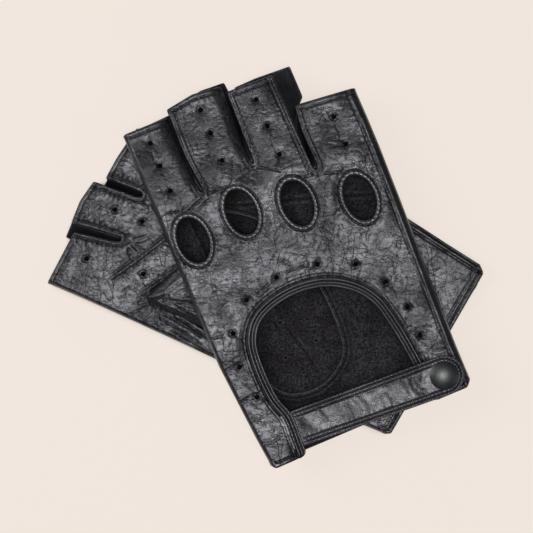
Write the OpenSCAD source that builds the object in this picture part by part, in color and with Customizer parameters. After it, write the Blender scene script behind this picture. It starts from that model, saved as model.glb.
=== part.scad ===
// A pair of fingerless leather driving gloves, lying crossed.
// The left glove lies on its back, palm up; the right glove lies on it, back up.
// Both share one glove frame: X from the index side, Y from wrist to fingertips,
// Z from the palm's outer face to the back's outer face.

/* [Leather] */
// Thickness of one layer of leather
leather = 1.0; // [0.9:0.05:1.1]
// Height of the hand cavity between palm and back
cavity = 4.8; // [4.6:0.1:6]
// Height of the hollow in a folded thumb
thumb_cavity = 1.8; // [1.4:0.1:3]
// Width of the wall that closes the glove at its two long edges
edge_wall = 1.2; // [1:0.1:1.5]

/* [Back] */
// Half width of a knuckle hole
knuckle_rx = 7.5; // [6.5:0.1:8]
// Half length of a knuckle hole
knuckle_ry = 11.3; // [9:0.1:12]
// Width of the binding round a knuckle hole
knuckle_band = 2.0; // [1.5:0.1:2.2]
// Width of the binding round the back opening
opening_band = 4.0; // [3:0.1:4.5]
// How far a binding stands proud of the leather on either side
binding_proud = 0.2; // [0.1:0.05:0.2]
// Diameter of the punched air holes
air_hole_d = 2.2; // [1.6:0.1:3]

/* [Strap and snap] */
// Thickness of each of the strap's two layers
strap_layer = 0.8; // [0.7:0.05:0.85]
// Half width of the strap
strap_half = 8.1; // [7:0.1:8.5]
// Radius of the strap's round end
strap_end_r = 8.7; // [8.2:0.1:9]
// Diameter of the snap's cap
cap_d = 15; // [12:0.5:16]
// Height of the snap's domed cap
cap_h = 1.8; // [1.4:0.1:1.8]
// Gap between the closed strap and the leather under it
strap_gap = 0.45; // [0.4:0.05:0.5]

/* [How the pair lies] */
// Turn of the right glove about Z
right_turn = 23; // [15:1:30]
// Turn of the left glove about Z
left_turn = 60; // [54:1:66]
// Gap between the two folded thumbs
pile_gap = 0.3; // [0.3:0.1:1]

/* [Hidden] */

RIGHT = 0;
LEFT = 1;
INDEX_MIDDLE = 0;
MIDDLE_RING = 1;
RING_LITTLE = 2;

palm_top = leather;
back_under = leather + cavity;
body_h = 2 * leather + cavity;
thumb_h = 2 * leather + thumb_cavity;
left_top = body_h + binding_proud;
right_floor = left_top + 2 * thumb_h + pile_gap;
clear_cut = 40;

// Where each glove's wrist corner on the index side stands
pair_centre = [-0.73, -0.14];
right_corner = [2.4, -88.2] - pair_centre;
left_corner = [54.2, -75.0] - pair_centre;

// The left glove's strap lies between it and the table, so the tab beside its
// back opening is pressed in by the thickness of the strap and the snap.
snap_stack = strap_gap + 2 * strap_layer + cap_h;
table_gap = 0.1;
tab_drop = [0, snap_stack + table_gap - binding_proud];
tab_flat_y = 26;
tab_ramp_y = 48;
tab_x = 64;

// The glove's outlines, for the right glove.
index_edge = [[-3.4, 135], [-3.6, 105], [-4, 50], [-1.4, 15]];
little_edge = [[95.2, 20], [96.2, 50], [97.6, 85], [98.4, 112], [98.5, 125]];
back_tips = [
    [98.3, 139.2], [70.8, 142.3], [69.7, 114], [68.7, 112.3], [67.6, 114],
    [65.1, 158.3], [46.4, 159.2], [45.2, 127], [44.3, 125.4], [43.4, 127],
    [43.3, 163], [31.8, 164.2], [20.4, 162.6], [20.2, 124], [19.6, 122.4],
    [19, 124], [18, 159.2], [-3.3, 159.6]];
palm_tips = [
    [98.2, 138.8], [78.6, 139.8], [74.4, 127], [73.2, 125.4], [72, 127],
    [73, 141.5], [76, 144.5], [76, 159.2], [60, 160.2], [49.8, 160],
    [50.3, 144], [49.2, 142.4], [48.1, 144], [46.6, 163.8], [36, 164.6],
    [25.6, 163.2], [28.2, 142.4], [27.2, 140.8], [26, 142.4], [22.6, 160.2],
    [-3.2, 159.2]];
// Each slot between two fingers: two points at the tips, then its rounded bottom
slots = [
    [[20.4, 168], [20.2, 124], [19.6, 122.4], [19, 124], [18, 168]],
    [[46.5, 168], [45.2, 127], [44.3, 125.4], [43.4, 127], [43.2, 168]],
    [[71.2, 168], [69.7, 114], [68.7, 112.3], [67.6, 114], [64.9, 168]]];
// Where the wrist hems of back and palm lie
back_hem_y = [-0.8, 0.3];
palm_hem_y = [1.4, -0.2];
knuckles = [[5.7, 105.2], [31.5, 108.3], [55.5, 102.3], [81.6, 93.9]];
// The index knuckle hole keeps clear of the fold at the glove's edge
knuckle_shift = [[1.6, 0], [0, 0], [0, 0], [0, 0]];
// The back opening, from the wrist on the index side round to the little side
opening_curve = [
    [16.6, -6], [16.9, 6], [17.2, 18], [14.4, 28], [13.8, 42], [15.6, 54],
    [22.5, 62.2], [36, 66], [50, 64.8], [61, 59.2], [68.6, 50], [72, 37],
    [74, 22], [75.4, 6], [75.8, -6]];
// The thumb hole in the palm
thumb_hole = [
    [10, 118], [23, 112.5], [38, 101], [47, 84], [50.3, 64], [50.6, 44], [47.5, 33],
    [37, 25.6], [26, 24.8], [17, 29], [12, 40], [10.2, 60], [9.6, 80], [9.4, 100]];
// The folded thumb's plan, with its open end between points 3 and 4
thumb_plan = [
    [8.4, 119.4], [23.6, 114.8], [44, 109], [65, 103.3], [83, 72.7], [64, 57],
    [53, 42], [49.4, 31.4], [37.6, 23.4], [25.4, 22.6], [15.4, 27], [10.2, 39],
    [8.2, 60], [7.6, 80], [7.4, 100]];
thumb_mouth = [[58, 96], [74, 112], [96, 74], [76, 68]];
back_air_holes = [
    [6.5, 151.6], [6.5, 140.8], [6.5, 129], [32.5, 156.5], [32.5, 145.5],
    [32.5, 132.4], [56.6, 151.1], [56.6, 138.6], [56.6, 125], [84.9, 130.9],
    [84.9, 117.9], [53.1, 74.3], [68.6, 67.9], [77.7, 55.7], [82.1, 42], [82.3, 28.4],
    [34.4, 76.1], [18.5, 72.1], [7.4, 60.9], [4.3, 46.3], [6.1, 31.2]];
palm_air_holes = [[13.7, 149.8], [38.7, 149.8], [38.7, 137.2], [17.5, 125.6]];
thumb_air_holes = [[28.1, 57], [39.7, 43.6], [24.3, 42]];

// The strap: its bend line beside the opening's binding, and its snap
strap_bend_x = 19.5;
strap_bend_z = back_under - 0.2;
strap_bend_y = 11.6;
strap_bend_gap = 1.2;
snap_at = [85.1, 8.1];
strap_rise_x = 68;
strap_root_x = 6;

// The left glove is narrower at the wrist and leans towards its index side
lean_1 = [0, -0.045];
lean_2 = [0, -0.00026];
wrist_squeeze = [0, 0.1];
squeeze_y = 110;
stretch = [1, 1.035];

function squeeze(g, y) = 1 - wrist_squeeze[g] * max(0, 1 - y / squeeze_y);
function fit(g, p) = [
    p.x * squeeze(g, p.y) + lean_1[g] * p.y + lean_2[g] * p.y * p.y,
    p.y * stretch[g]];
function fit_all(g, points) = [for (p = points) fit(g, p)];
// One point of a smooth curve through a, b, c and d, at share t from b to c
function curve_point(a, b, c, d, t) = 0.5 * (2 * b + (c - a) * t
    + (2 * a - 5 * b + 4 * c - d) * t * t + (3 * b - a - 3 * c + d) * t * t * t);
function closed_curve(p, steps = 5) = [
    for (i = [0 : len(p) - 1], s = [0 : steps - 1])
        curve_point(p[(i + len(p) - 1) % len(p)], p[i], p[(i + 1) % len(p)],
            p[(i + 2) % len(p)], s / steps)];
function open_curve(p, steps = 5) = concat(
    [for (i = [1 : len(p) - 3], s = [0 : steps - 1])
        curve_point(p[i - 1], p[i], p[i + 1], p[i + 2], s / steps)],
    [p[len(p) - 2]]);
function ellipse_points(c, rx, ry, steps = 40) = [
    for (i = [0 : steps - 1])
        let(turn = 360 * i / steps) [c.x + rx * cos(turn), c.y + ry * sin(turn)]];

module place(g) {
    if (g == RIGHT)
        translate([right_corner.x, right_corner.y, right_floor])
            rotate([0, 0, right_turn])
                children();
    else
        translate([left_corner.x, left_corner.y, left_top])
            rotate([0, 0, left_turn])
                mirror([0, 0, 1])
                    children();
}

// A slab whose tab beside the opening follows the pressed-in leather
module pressed_slab(g, z0, z1, lower_share) {
    ys = [-20, tab_flat_y, tab_ramp_y];
    drops = [tab_drop[g], tab_drop[g], 0];
    lower = [for (i = [0 : 2]) [ys[i], z0 - lower_share * drops[i]]];
    upper = [for (i = [2 : -1 : 0]) [ys[i], z1 - drops[i]]];
    translate([tab_x, 0, 0])
        rotate([90, 0, 90])
            linear_extrude(clear_cut)
                polygon(concat(lower, upper));
}

module tab_zone() {
    translate([tab_x, -20])
        square([clear_cut, 20 + tab_ramp_y]);
}

// The children's plan as a layer of the back, from z0 to z1
module back_layer(g, z0, z1, lower_share = 1) {
    if (tab_drop[g] == 0)
        translate([0, 0, z0])
            linear_extrude(z1 - z0)
                children();
    else {
        translate([0, 0, z0])
            linear_extrude(z1 - z0)
                difference() {
                    children();
                    tab_zone();
                }
        intersection() {
            pressed_slab(g, z0, z1, lower_share);
            translate([0, 0, -clear_cut / 2])
                linear_extrude(clear_cut)
                    intersection() {
                        children();
                        tab_zone();
                    }
        }
    }
}

module outline(g, tips, wrist_y) {
    polygon(fit_all(g, concat(
        [[0, wrist_y + 2], [1.6, wrist_y], [92.4, wrist_y], [95, wrist_y + 2.6]],
        little_edge, tips, index_edge)));
}

module back_outline(g) {
    outline(g, back_tips, back_hem_y[g]);
}

module palm_outline(g) {
    outline(g, palm_tips, palm_hem_y[g]);
}

module opening_plan(g) {
    polygon(concat(
        open_curve(fit_all(g, concat([[16.6, -12]], opening_curve, [[76, -12]]))),
        fit_all(g, [[76, -14], [16.6, -14]])));
}

module knuckle_plan(g, finger, grow) {
    centre = knuckles[finger] + knuckle_shift[finger];
    polygon(fit_all(g, ellipse_points(centre, knuckle_rx - knuckle_band / 2 + grow,
        knuckle_ry - knuckle_band / 2 + grow)));
}

module air_holes(g, centres) {
    for (c = centres)
        translate(fit(g, c))
            circle(d = air_hole_d, $fn = 24);
}

module snap_hole(g, d) {
    translate(fit(g, snap_at))
        circle(d = d, $fn = 40);
}

// The strip inside the glove's outline along one long edge
module edge_strip(g, from_x, to_x, top_y) {
    intersection() {
        difference() {
            palm_outline(g);
            offset(delta = -edge_wall)
                palm_outline(g);
        }
        polygon(fit_all(g, [[from_x, 4], [to_x, 4], [to_x, 60], [to_x, top_y],
            [from_x, top_y], [from_x, 60]]));
    }
}

module back_panel(g) {
    color("#232427")
        place(g) {
            back_layer(g, back_under, body_h)
                difference() {
                    back_outline(g);
                    offset(delta = opening_band)
                        opening_plan(g);
                    for (finger = [0 : 3])
                        knuckle_plan(g, finger, knuckle_band);
                    air_holes(g, back_air_holes);
                    snap_hole(g, 3.2);
                }
            // the fold at the index side
            translate([0, 0, palm_top])
                linear_extrude(cavity)
                    edge_strip(g, -12, 6, 156);
        }
}

module palm_panel(g) {
    color("#232427")
        place(g) {
            linear_extrude(leather)
                difference() {
                    palm_outline(g);
                    polygon(closed_curve(fit_all(g, thumb_hole)));
                    air_holes(g, palm_air_holes);
                }
            // the turned-up side that the seam joins to the back
            back_layer(g, palm_top, back_under, lower_share = 0)
                edge_strip(g, 88, 104, 136);
        }
}

// The folded strip that joins back and palm along the two sides of a slot
module fourchette(g, slot) {
    color("#1c1d1f")
        place(g)
            translate([0, 0, palm_top])
                linear_extrude(cavity)
                    intersection() {
                        difference() {
                            offset(delta = leather)
                                polygon(fit_all(g, slots[slot]));
                            polygon(fit_all(g, slots[slot]));
                        }
                        offset(delta = -0.6)
                            back_outline_filled(g);
                    }
}

// The back's outline with its slots closed
module back_outline_filled(g) {
    outline(g, [[98.3, 139.2], [70.8, 142.3], [66.5, 158.3], [46.4, 159.2],
        [43.3, 163], [31.8, 164.2], [20.4, 162.6], [18, 159.2], [-3.3, 159.6]],
        back_hem_y[g]);
}

module thumb_outline(g) {
    polygon(fit_all(g, thumb_plan));
}

module thumb_stall(g) {
    color("#232427")
        place(g)
            translate([0, 0, -thumb_h]) {
                linear_extrude(leather)
                    difference() {
                        thumb_outline(g);
                        air_holes(g, thumb_air_holes);
                    }
                translate([0, 0, leather])
                    linear_extrude(thumb_cavity)
                        difference() {
                            thumb_outline(g);
                            offset(delta = -edge_wall)
                                thumb_outline(g);
                            polygon(fit_all(g, thumb_mouth));
                        }
                translate([0, 0, leather + thumb_cavity])
                    linear_extrude(leather)
                        difference() {
                            thumb_outline(g);
                            polygon(closed_curve(fit_all(g, thumb_hole)));
                        }
            }
}

module knuckle_binding(g, finger) {
    color("#1a1b1d")
        place(g)
            translate([0, 0, back_under - binding_proud])
                linear_extrude(leather + 2 * binding_proud)
                    difference() {
                        knuckle_plan(g, finger, knuckle_band);
                        knuckle_plan(g, finger, 0);
                    }
}

module opening_binding(g) {
    color("#1a1b1d")
        place(g)
            back_layer(g, back_under - binding_proud, body_h + binding_proud)
                intersection() {
                    difference() {
                        offset(delta = opening_band)
                            opening_plan(g);
                        opening_plan(g);
                    }
                    back_outline(g);
                }
}

// The strap's plan: a band that ends in a round end about the snap
module strap_plan(g) {
    bend = fit(g, [strap_bend_x, strap_bend_y]);
    snap = fit(g, snap_at);
    polygon([[bend.x, bend.y - strap_half], [snap.x, snap.y - strap_end_r],
        [snap.x, snap.y + strap_end_r], [bend.x, bend.y + strap_half]]);
    translate(snap)
        circle(r = strap_end_r, $fn = 60);
}

// Height of the closed strap's lower face over the tab
function strap_base(g) = body_h - tab_drop[g] + strap_gap;

// A layer of the strap between two heights above its lower face
module strap_slab(g, z0, z1) {
    bend = fit(g, [strap_bend_x, strap_bend_y]).x;
    rise = fit(g, [strap_rise_x, strap_bend_y]).x;
    end = fit(g, [100, strap_bend_y]).x;
    low = strap_bend_z - strap_layer;
    high = strap_base(g);
    stations = [[bend, low], [rise, high], [end, high]];
    translate([0, clear_cut, 0])
        rotate([90, 0, 0])
            linear_extrude(2 * clear_cut)
                polygon(concat([for (s = stations) s + [0, z0]],
                    [for (i = [2 : -1 : 0]) stations[i] + [0, z1]]));
}

module strap_layer_part(g, z0, z1, hole_d) {
    place(g)
        intersection() {
            strap_slab(g, z0, z1);
            translate([0, 0, -clear_cut / 2])
                linear_extrude(clear_cut)
                    difference() {
                        strap_plan(g);
                        snap_hole(g, hole_d);
                    }
        }
}

module strap_outer(g) {
    color("#232427")
        strap_layer_part(g, strap_layer, 2 * strap_layer, 3.2);
}

module strap_lining(g) {
    color("#1c1d1f")
        strap_layer_part(g, 0, strap_layer, 11.2);
}

// The end of the strap that is sewn under the back, beside the opening
module strap_root(g) {
    bend = fit(g, [strap_bend_x, strap_bend_y]);
    start = fit(g, [strap_root_x, strap_bend_y]);
    under = back_under - binding_proud;
    color("#232427")
        place(g)
            translate([0, bend.y + strap_half, 0])
                rotate([90, 0, 0])
                    linear_extrude(2 * strap_half)
                        polygon([
                            [start.x, under - 2 * strap_layer],
                            [bend.x - strap_bend_gap, under - 2 * strap_layer],
                            [bend.x - strap_bend_gap, under], [start.x, under]]);
}

module at_snap(g) {
    snap = fit(g, snap_at);
    place(g)
        translate([snap.x, snap.y, strap_base(g)])
            children();
}

module snap_cap(g) {
    rim = 0.5;
    color("#2b2d31")
        at_snap(g) {
            translate([0, 0, 2 * strap_layer])
                rotate_extrude($fn = 80)
                    polygon(concat([[0, 0], [cap_d / 2, 0]],
                        [for (i = [0 : 12])
                            [cap_d / 2 * cos(7.5 * i),
                                rim + (cap_h - rim) * sin(7.5 * i)]]));
            translate([0, 0, strap_layer + 0.1])
                cylinder(d = 3, h = strap_layer, $fn = 40);
        }
}

module snap_socket(g) {
    color("#8c8c90")
        at_snap(g)
            translate([0, 0, 0.05])
                difference() {
                    cylinder(d = 11, h = strap_layer - 0.05, $fn = 48);
                    translate([0, 0, -1])
                        cylinder(d = 4.6, h = strap_layer + 2, $fn = 40);
                }
}

module snap_stud(g) {
    color("#8c8c90")
        at_snap(g)
            translate([0, 0, -strap_gap])
                difference() {
                    union() {
                        cylinder(d = 8.6, h = 0.2, $fn = 48);
                        cylinder(d = 3.8, h = strap_gap + 0.6, $fn = 40);
                    }
                    translate([0, 0, -1])
                        cylinder(d = 3.1, h = 1.35, $fn = 40);
                }
}

module snap_post(g) {
    color("#8c8c90")
        at_snap(g)
            translate([0, 0, -strap_gap - leather]) {
                cylinder(d = 3, h = leather + 0.3, $fn = 40);
                translate([0, 0, -0.4])
                    cylinder(d = 9, h = 0.4, $fn = 48);
            }
}

back_panel(LEFT);  // left_back_panel
palm_panel(LEFT);  // left_palm_panel
fourchette(LEFT, INDEX_MIDDLE);  // left_fourchette_index_middle
fourchette(LEFT, MIDDLE_RING);  // left_fourchette_middle_ring
fourchette(LEFT, RING_LITTLE);  // left_fourchette_ring_little
thumb_stall(LEFT);  // left_thumb_stall
knuckle_binding(LEFT, 0);  // left_knuckle_binding_index
knuckle_binding(LEFT, 1);  // left_knuckle_binding_middle
knuckle_binding(LEFT, 2);  // left_knuckle_binding_ring
knuckle_binding(LEFT, 3);  // left_knuckle_binding_little
opening_binding(LEFT);  // left_opening_binding
strap_root(LEFT);  // left_strap_root
strap_outer(LEFT);  // left_strap_outer
strap_lining(LEFT);  // left_strap_lining
snap_cap(LEFT);  // left_snap_cap
snap_socket(LEFT);  // left_snap_socket
snap_stud(LEFT);  // left_snap_stud
snap_post(LEFT);  // left_snap_post
back_panel(RIGHT);  // right_back_panel
palm_panel(RIGHT);  // right_palm_panel
fourchette(RIGHT, INDEX_MIDDLE);  // right_fourchette_index_middle
fourchette(RIGHT, MIDDLE_RING);  // right_fourchette_middle_ring
fourchette(RIGHT, RING_LITTLE);  // right_fourchette_ring_little
thumb_stall(RIGHT);  // right_thumb_stall
knuckle_binding(RIGHT, 0);  // right_knuckle_binding_index
knuckle_binding(RIGHT, 1);  // right_knuckle_binding_middle
knuckle_binding(RIGHT, 2);  // right_knuckle_binding_ring
knuckle_binding(RIGHT, 3);  // right_knuckle_binding_little
opening_binding(RIGHT);  // right_opening_binding
strap_root(RIGHT);  // right_strap_root
strap_outer(RIGHT);  // right_strap_outer
strap_lining(RIGHT);  // right_strap_lining
snap_cap(RIGHT);  // right_snap_cap
snap_socket(RIGHT);  // right_snap_socket
snap_stud(RIGHT);  // right_snap_stud
snap_post(RIGHT);  // right_snap_post
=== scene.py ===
"""The looks of a crossed pair of fingerless leather driving gloves.

Everything is worked out in millimetres in one glove frame, shared by both gloves:
x from the index side, y from wrist to fingertips, z from the palm's outer face to
the back's outer face. place() puts it on the right or the left glove.
"""
import math

import bpy
import numpy as np
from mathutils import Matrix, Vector, kdtree
from mathutils.geometry import delaunay_2d_cdt


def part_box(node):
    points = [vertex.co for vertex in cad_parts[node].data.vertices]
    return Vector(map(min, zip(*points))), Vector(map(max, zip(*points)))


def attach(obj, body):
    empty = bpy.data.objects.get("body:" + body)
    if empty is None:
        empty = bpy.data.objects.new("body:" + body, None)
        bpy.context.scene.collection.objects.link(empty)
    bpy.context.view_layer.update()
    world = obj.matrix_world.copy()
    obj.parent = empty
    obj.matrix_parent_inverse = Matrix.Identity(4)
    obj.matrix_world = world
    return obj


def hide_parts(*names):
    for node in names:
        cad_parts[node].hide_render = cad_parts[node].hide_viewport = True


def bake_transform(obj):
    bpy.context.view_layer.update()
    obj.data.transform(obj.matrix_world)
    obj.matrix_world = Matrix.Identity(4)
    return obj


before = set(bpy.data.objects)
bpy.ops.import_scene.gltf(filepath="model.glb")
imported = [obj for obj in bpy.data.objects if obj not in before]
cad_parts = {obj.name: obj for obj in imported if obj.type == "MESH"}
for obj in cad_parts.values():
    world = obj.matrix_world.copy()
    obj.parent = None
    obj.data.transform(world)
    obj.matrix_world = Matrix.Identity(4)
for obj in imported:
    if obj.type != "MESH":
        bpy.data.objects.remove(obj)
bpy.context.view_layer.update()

MM = 0.001
RIGHT, LEFT = 0, 1
SIDES = ("right", "left")
FINGERS = ("index", "middle", "ring", "little")
SLOTS = ("slot_0", "slot_1", "slot_2")

# ---------------------------------------------------------------- sizes, in mm
LEATHER = 1.0
# the room between the back and the palm
CAVITY = 4.8
BODY_H = 2 * LEATHER + CAVITY
MIDDLE_Z = BODY_H / 2
BACK_Z = BODY_H - LEATHER / 2
PALM_Z = LEATHER / 2
THUMB_H = 3.8
STRAP_LAYER = 0.8
STRAP_GAP = 0.45
CAP_H = 1.8
OPENING_BAND = 4.0
RIGHT_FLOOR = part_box("right_palm_panel")[0].z / MM
LEFT_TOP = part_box("left_palm_panel")[1].z / MM
# how far the tab beside the opening is pressed in, on the right and the left glove
TAB_DROP = (0.0, STRAP_GAP + 2 * STRAP_LAYER + CAP_H - 0.1)
# where each glove's corner lies in the pair, and how far each is turned
PAIR_CENTRE = np.array([-0.73, -0.14])
CORNER = (np.array([2.4, -88.2]) - PAIR_CENTRE, np.array([54.2, -75.0]) - PAIR_CENTRE)
TURN = (math.radians(23), math.radians(60))

# ------------------------------------------------------- the gloves' outlines
INDEX_EDGE = [(-3.4, 135), (-3.6, 105), (-4, 50), (-1.4, 15)]
LITTLE_EDGE = [(95.2, 20), (96.2, 50), (97.6, 85), (98.4, 112), (98.5, 125)]
BACK_TIPS = [
    ("tip", [(98.3, 139.2), (71, 142.3)]),
    ("slot_2", [(71, 142.3), (69.5, 131), (69.8, 114), (68.9, 112.4), (68, 114),
                (67.6, 131), (67.2, 158.4)]),
    ("tip", [(67.2, 158.4), (45.9, 159.4)]),
    ("slot_1", [(45.9, 159.4), (45.2, 140), (45, 127), (44.4, 125.6), (43.8, 127),
                (44.1, 140), (44.4, 162.7)]),
    ("tip", [(44.4, 162.7), (31.8, 164.2), (18.7, 162.4)]),
    ("slot_0", [(18.7, 162.4), (18.2, 140), (19.6, 124), (19.1, 122.6), (18.5, 124),
                (17.2, 140), (17.4, 159.3)]),
    ("tip", [(17.4, 159.3), (-3.3, 159.6)])]
PALM_TIPS = [
    ("tip", [(98.2, 138.8), (78.6, 139.8)]),
    ("slot_2", [(78.6, 139.8), (74.4, 127), (73.2, 125.4), (72, 127), (73, 141.5),
                (76, 144.5), (76, 159.2)]),
    ("tip", [(76, 159.2), (60, 160.2), (49.8, 160)]),
    ("slot_1", [(49.8, 160), (50.3, 144), (49.2, 142.4), (48.1, 144), (46.6, 163.8)]),
    ("tip", [(46.6, 163.8), (36, 164.6), (25.6, 163.2)]),
    ("slot_0", [(25.6, 163.2), (28.2, 142.4), (27.2, 140.8), (26, 142.4),
                (22.6, 160.2)]),
    ("tip", [(22.6, 160.2), (-3.2, 159.2)])]
BACK_HEM = (-0.8, 0.3)
PALM_HEM = (1.4, -0.2)
KNUCKLES = [(7.3, 105.2), (31.5, 108.3), (55.5, 102.3), (81.6, 93.9)]
KNUCKLE_RX, KNUCKLE_RY = 6.5, 10.3
OPENING = [
    (16.6, -6), (16.9, 6), (17.2, 18), (14.4, 28), (13.8, 42), (15.6, 54),
    (22.5, 62.2), (36, 66), (50, 64.8), (61, 59.2), (68.6, 50), (72, 37),
    (74, 22), (75.4, 6), (75.8, -6)]
THUMB_HOLE = [
    (10, 118), (23, 112.5), (38, 101), (47, 84), (50.3, 64), (50.6, 44), (47.5, 33),
    (37, 25.6), (26, 24.8), (17, 29), (12, 40), (10.2, 60), (9.6, 80), (9.4, 100)]
THUMB_PLAN = [
    (8.4, 119.4), (23.6, 114.8), (44, 109), (65, 103.3), (83, 72.7), (64, 57),
    (53, 42), (49.4, 31.4), (37.6, 23.4), (25.4, 22.6), (15.4, 27), (10.2, 39),
    (8.2, 60), (7.6, 80), (7.4, 100)]
BACK_AIR_HOLES = [
    (6.5, 151.6), (6.5, 140.8), (6.5, 129), (32.5, 156.5), (32.5, 145.5),
    (32.5, 132.4), (56.6, 151.1), (56.6, 138.6), (56.6, 125), (84.9, 130.9),
    (84.9, 117.9), (53.1, 74.3), (68.6, 67.9), (77.7, 55.7), (82.1, 42), (82.3, 28.4),
    (34.4, 76.1), (18.5, 72.1), (7.4, 60.9), (4.3, 46.3), (6.1, 31.2)]
PALM_AIR_HOLES = [(13.7, 149.8), (38.7, 149.8), (38.7, 137.2), (17.5, 125.6)]
THUMB_AIR_HOLES = [(28.1, 57), (39.7, 43.6), (24.3, 42)]
AIR_HOLE_R = 1.1
PIN_TUCKS = [
    [(7.5, 137.5), (21.1, 131.3), (35.7, 125.1), (52, 119.5), (66, 115)],
    [(6.9, 122.9), (16.1, 118.5), (25.8, 114.4), (33, 111), (56, 104), (82, 95),
     (93, 91)]]
# cross-sections of the bindings: distance from the hole's edge, and height
RING_SECTION = np.array([
    (0, 0), (0.05, 0.5), (0.3, 0.84), (0.7, 0.96), (1.15, 1.02), (1.6, 0.98), (1.95, 0.8),
    (2.12, 0.35), (2.1, -0.2), (1.8, -0.55), (1.2, -0.7), (0.6, -0.66), (0.15, -0.4)]).T
BINDING_SECTION = np.array([
    (0, 0), (0.06, 0.42), (0.2, 0.7), (0.5, 0.8), (0.8, 0.74), (1, 0.5), (1.2, 0.24),
    (1.4, 0.52), (1.6, 0.8), (1.9, 0.87), (2.15, 0.8), (2.35, 0.46), (2.55, 0.06),
    (2.75, 0.5), (2.95, 0.86), (3.3, 0.95), (3.65, 0.86), (3.9, 0.6), (4.04, 0.28),
    (4.08, 0), (3.9, -0.4), (3.4, -0.62), (2.4, -0.7), (1.2, -0.7), (0.4, -0.6),
    (0.05, -0.35)]).T
# the longer folds of the leather: depth, how fast the ends fade, and the curve
BACK_FOLDS = [
    (0.45, 3.0, [(1.5, 120.5), (6, 119.4), (11, 120.5)]),
    (0.5, 3.0, [(9, 117.5), (15, 119.6), (22, 121.3), (29, 121.2)]),
    (0.3, 3.0, [(13.5, 116.2), (19, 118.2), (25, 119.6)]),
    (0.28, 3.0, [(31, 121.5), (38, 122.6), (44.4, 124.6)]),
    (0.34, 3.0, [(44.5, 124.2), (50, 121), (55, 117.5)]),
    (0.3, 3.0, [(69, 111.2), (64, 111.5), (60, 113)]),
    (0.34, 3.0, [(69, 111), (75, 108.4), (81, 106.8)]),
    (0.42, 1.0, [(-2.5, 31.5), (2, 32.6), (5, 31.6)]),
    (0.4, 1.0, [(7, 30.6), (10, 28.4), (12.5, 24.5)]),
    (0.26, 1.0, [(-3, 62.5), (2, 61.8), (6, 61)]),
    (0.28, 3.0, [(19.8, 70.6), (27, 73.6), (33, 75.6)]),
    (0.28, 3.0, [(35.8, 76), (44, 76.4), (52, 74.8)]),
    (0.24, 3.0, [(6.4, 150), (5.4, 145.5), (6.4, 142)]),
    (0.4, 1.0, [(84.9, 129.8), (84.2, 124), (84.8, 119)]),
    (0.2, 3.0, [(-1.5, 21), (4, 22.5), (10, 21)]),
    (0.2, 3.0, [(-1.5, 12), (5, 10.6), (11, 12.2)])]
# the palm's folds beside the thumb: depth and the curve
PALM_FOLDS = [
    (0.4, [(5.1, 112.2), (4.6, 102), (2.5, 89.1)]),
    (0.34, [(2.6, 110.5), (1.4, 100), (-0.8, 88)]),
    (0.3, [(0.2, 104), (-1.4, 94), (-2.6, 82)]),
    (0.25, [(4.2, 86), (3.0, 74), (4.5, 62)])]
STRAP_BEND = (19.5, 11.6)
STRAP_HALF = 8.1
STRAP_END_R = 8.7
SNAP_AT = (85.1, 8.1)
STRAP_ROOT_X = 7.0

# how far each row of stitches runs from its edge
SLOT_ROW, TIP_ROW, SIDE_ROW, WRIST_ROW, RING_ROW = 2.5, 2.4, 3.75, 2.3, 2.25
OPENING_ROWS = (1.22, 2.6)
PALM_SLOT_ROW, PALM_TIP_ROW, PALM_WRIST_ROWS, THUMB_ROW = 2.1, 2.5, (2.0, 3.7), 2.2
STRAP_ROWS = (1.45, 3.0)

# rows of mesh points this far in from the edges, closer where the grooves are
SHEET_ROWS = (0.1, 0.28, 0.55, 0.85, 1.2, 1.55, 1.9, 2.3, 2.7)
STRAP_SHEET_ROWS = (0.1, 0.25, 0.45, 0.7, 0.95, 1.2, 1.4, 1.6, 1.85, 2.1, 2.4, 2.65, 2.85,
                    3.05, 3.25, 3.5, 3.8)
FOLD_STEP = 0.35
# what lies lower than this above the floor is pressed flat
PRESSED = 0.35
# how far the upper glove's fingertips settle onto the lower glove
SETTLED = 2.4
# the deepest groove that still leaves the inner face untouched
DEEPEST = -0.7 * LEATHER


# ------------------------------------------------------------ the glove frame
def fit(g, p):
    """The left glove is narrower at the wrist and leans towards its index side."""
    p = np.asarray(p, float)
    if g == RIGHT:
        return p.copy()
    x, y = p[..., 0], p[..., 1]
    narrow = 1 - 0.1 * np.maximum(0, 1 - y / 110)
    return np.stack([x * narrow - 0.045 * y - 0.00026 * y * y, y * 1.035], -1)


def place(g, v):
    """Points of a glove, in mm and already fitted, in the row's frame in metres."""
    v = settle(g, v)
    c, s = math.cos(TURN[g]), math.sin(TURN[g])
    x = CORNER[g][0] + c * v[:, 0] - s * v[:, 1]
    y = CORNER[g][1] + s * v[:, 0] + c * v[:, 1]
    z = RIGHT_FLOOR + v[:, 2] if g == RIGHT else LEFT_TOP - v[:, 2]
    # what would sink into the floor is pressed flat on it instead
    z = np.where(z < PRESSED, PRESSED * np.exp(np.minimum(z, PRESSED) / PRESSED - 1), z)
    return np.stack([x, y, z], 1) * MM


def smooth(t):
    t = np.clip(t, 0, 1)
    return t * t * (3 - 2 * t)


def settle(g, v):
    """How the upper glove gives under its own weight, past what it lies on."""
    v = v.copy()
    if g == RIGHT:
        v[:, 2] -= SETTLED * smooth((v[:, 1] - 108) / 60)
    return v


def tab_drop(g, p):
    """How far the tab beside the opening is pressed in by the strap under it."""
    x, y = p[:, 0], p[:, 1]
    return TAB_DROP[g] * (1 - smooth((y - 24) / 26)) * smooth((x - 60) / 8)


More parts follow.
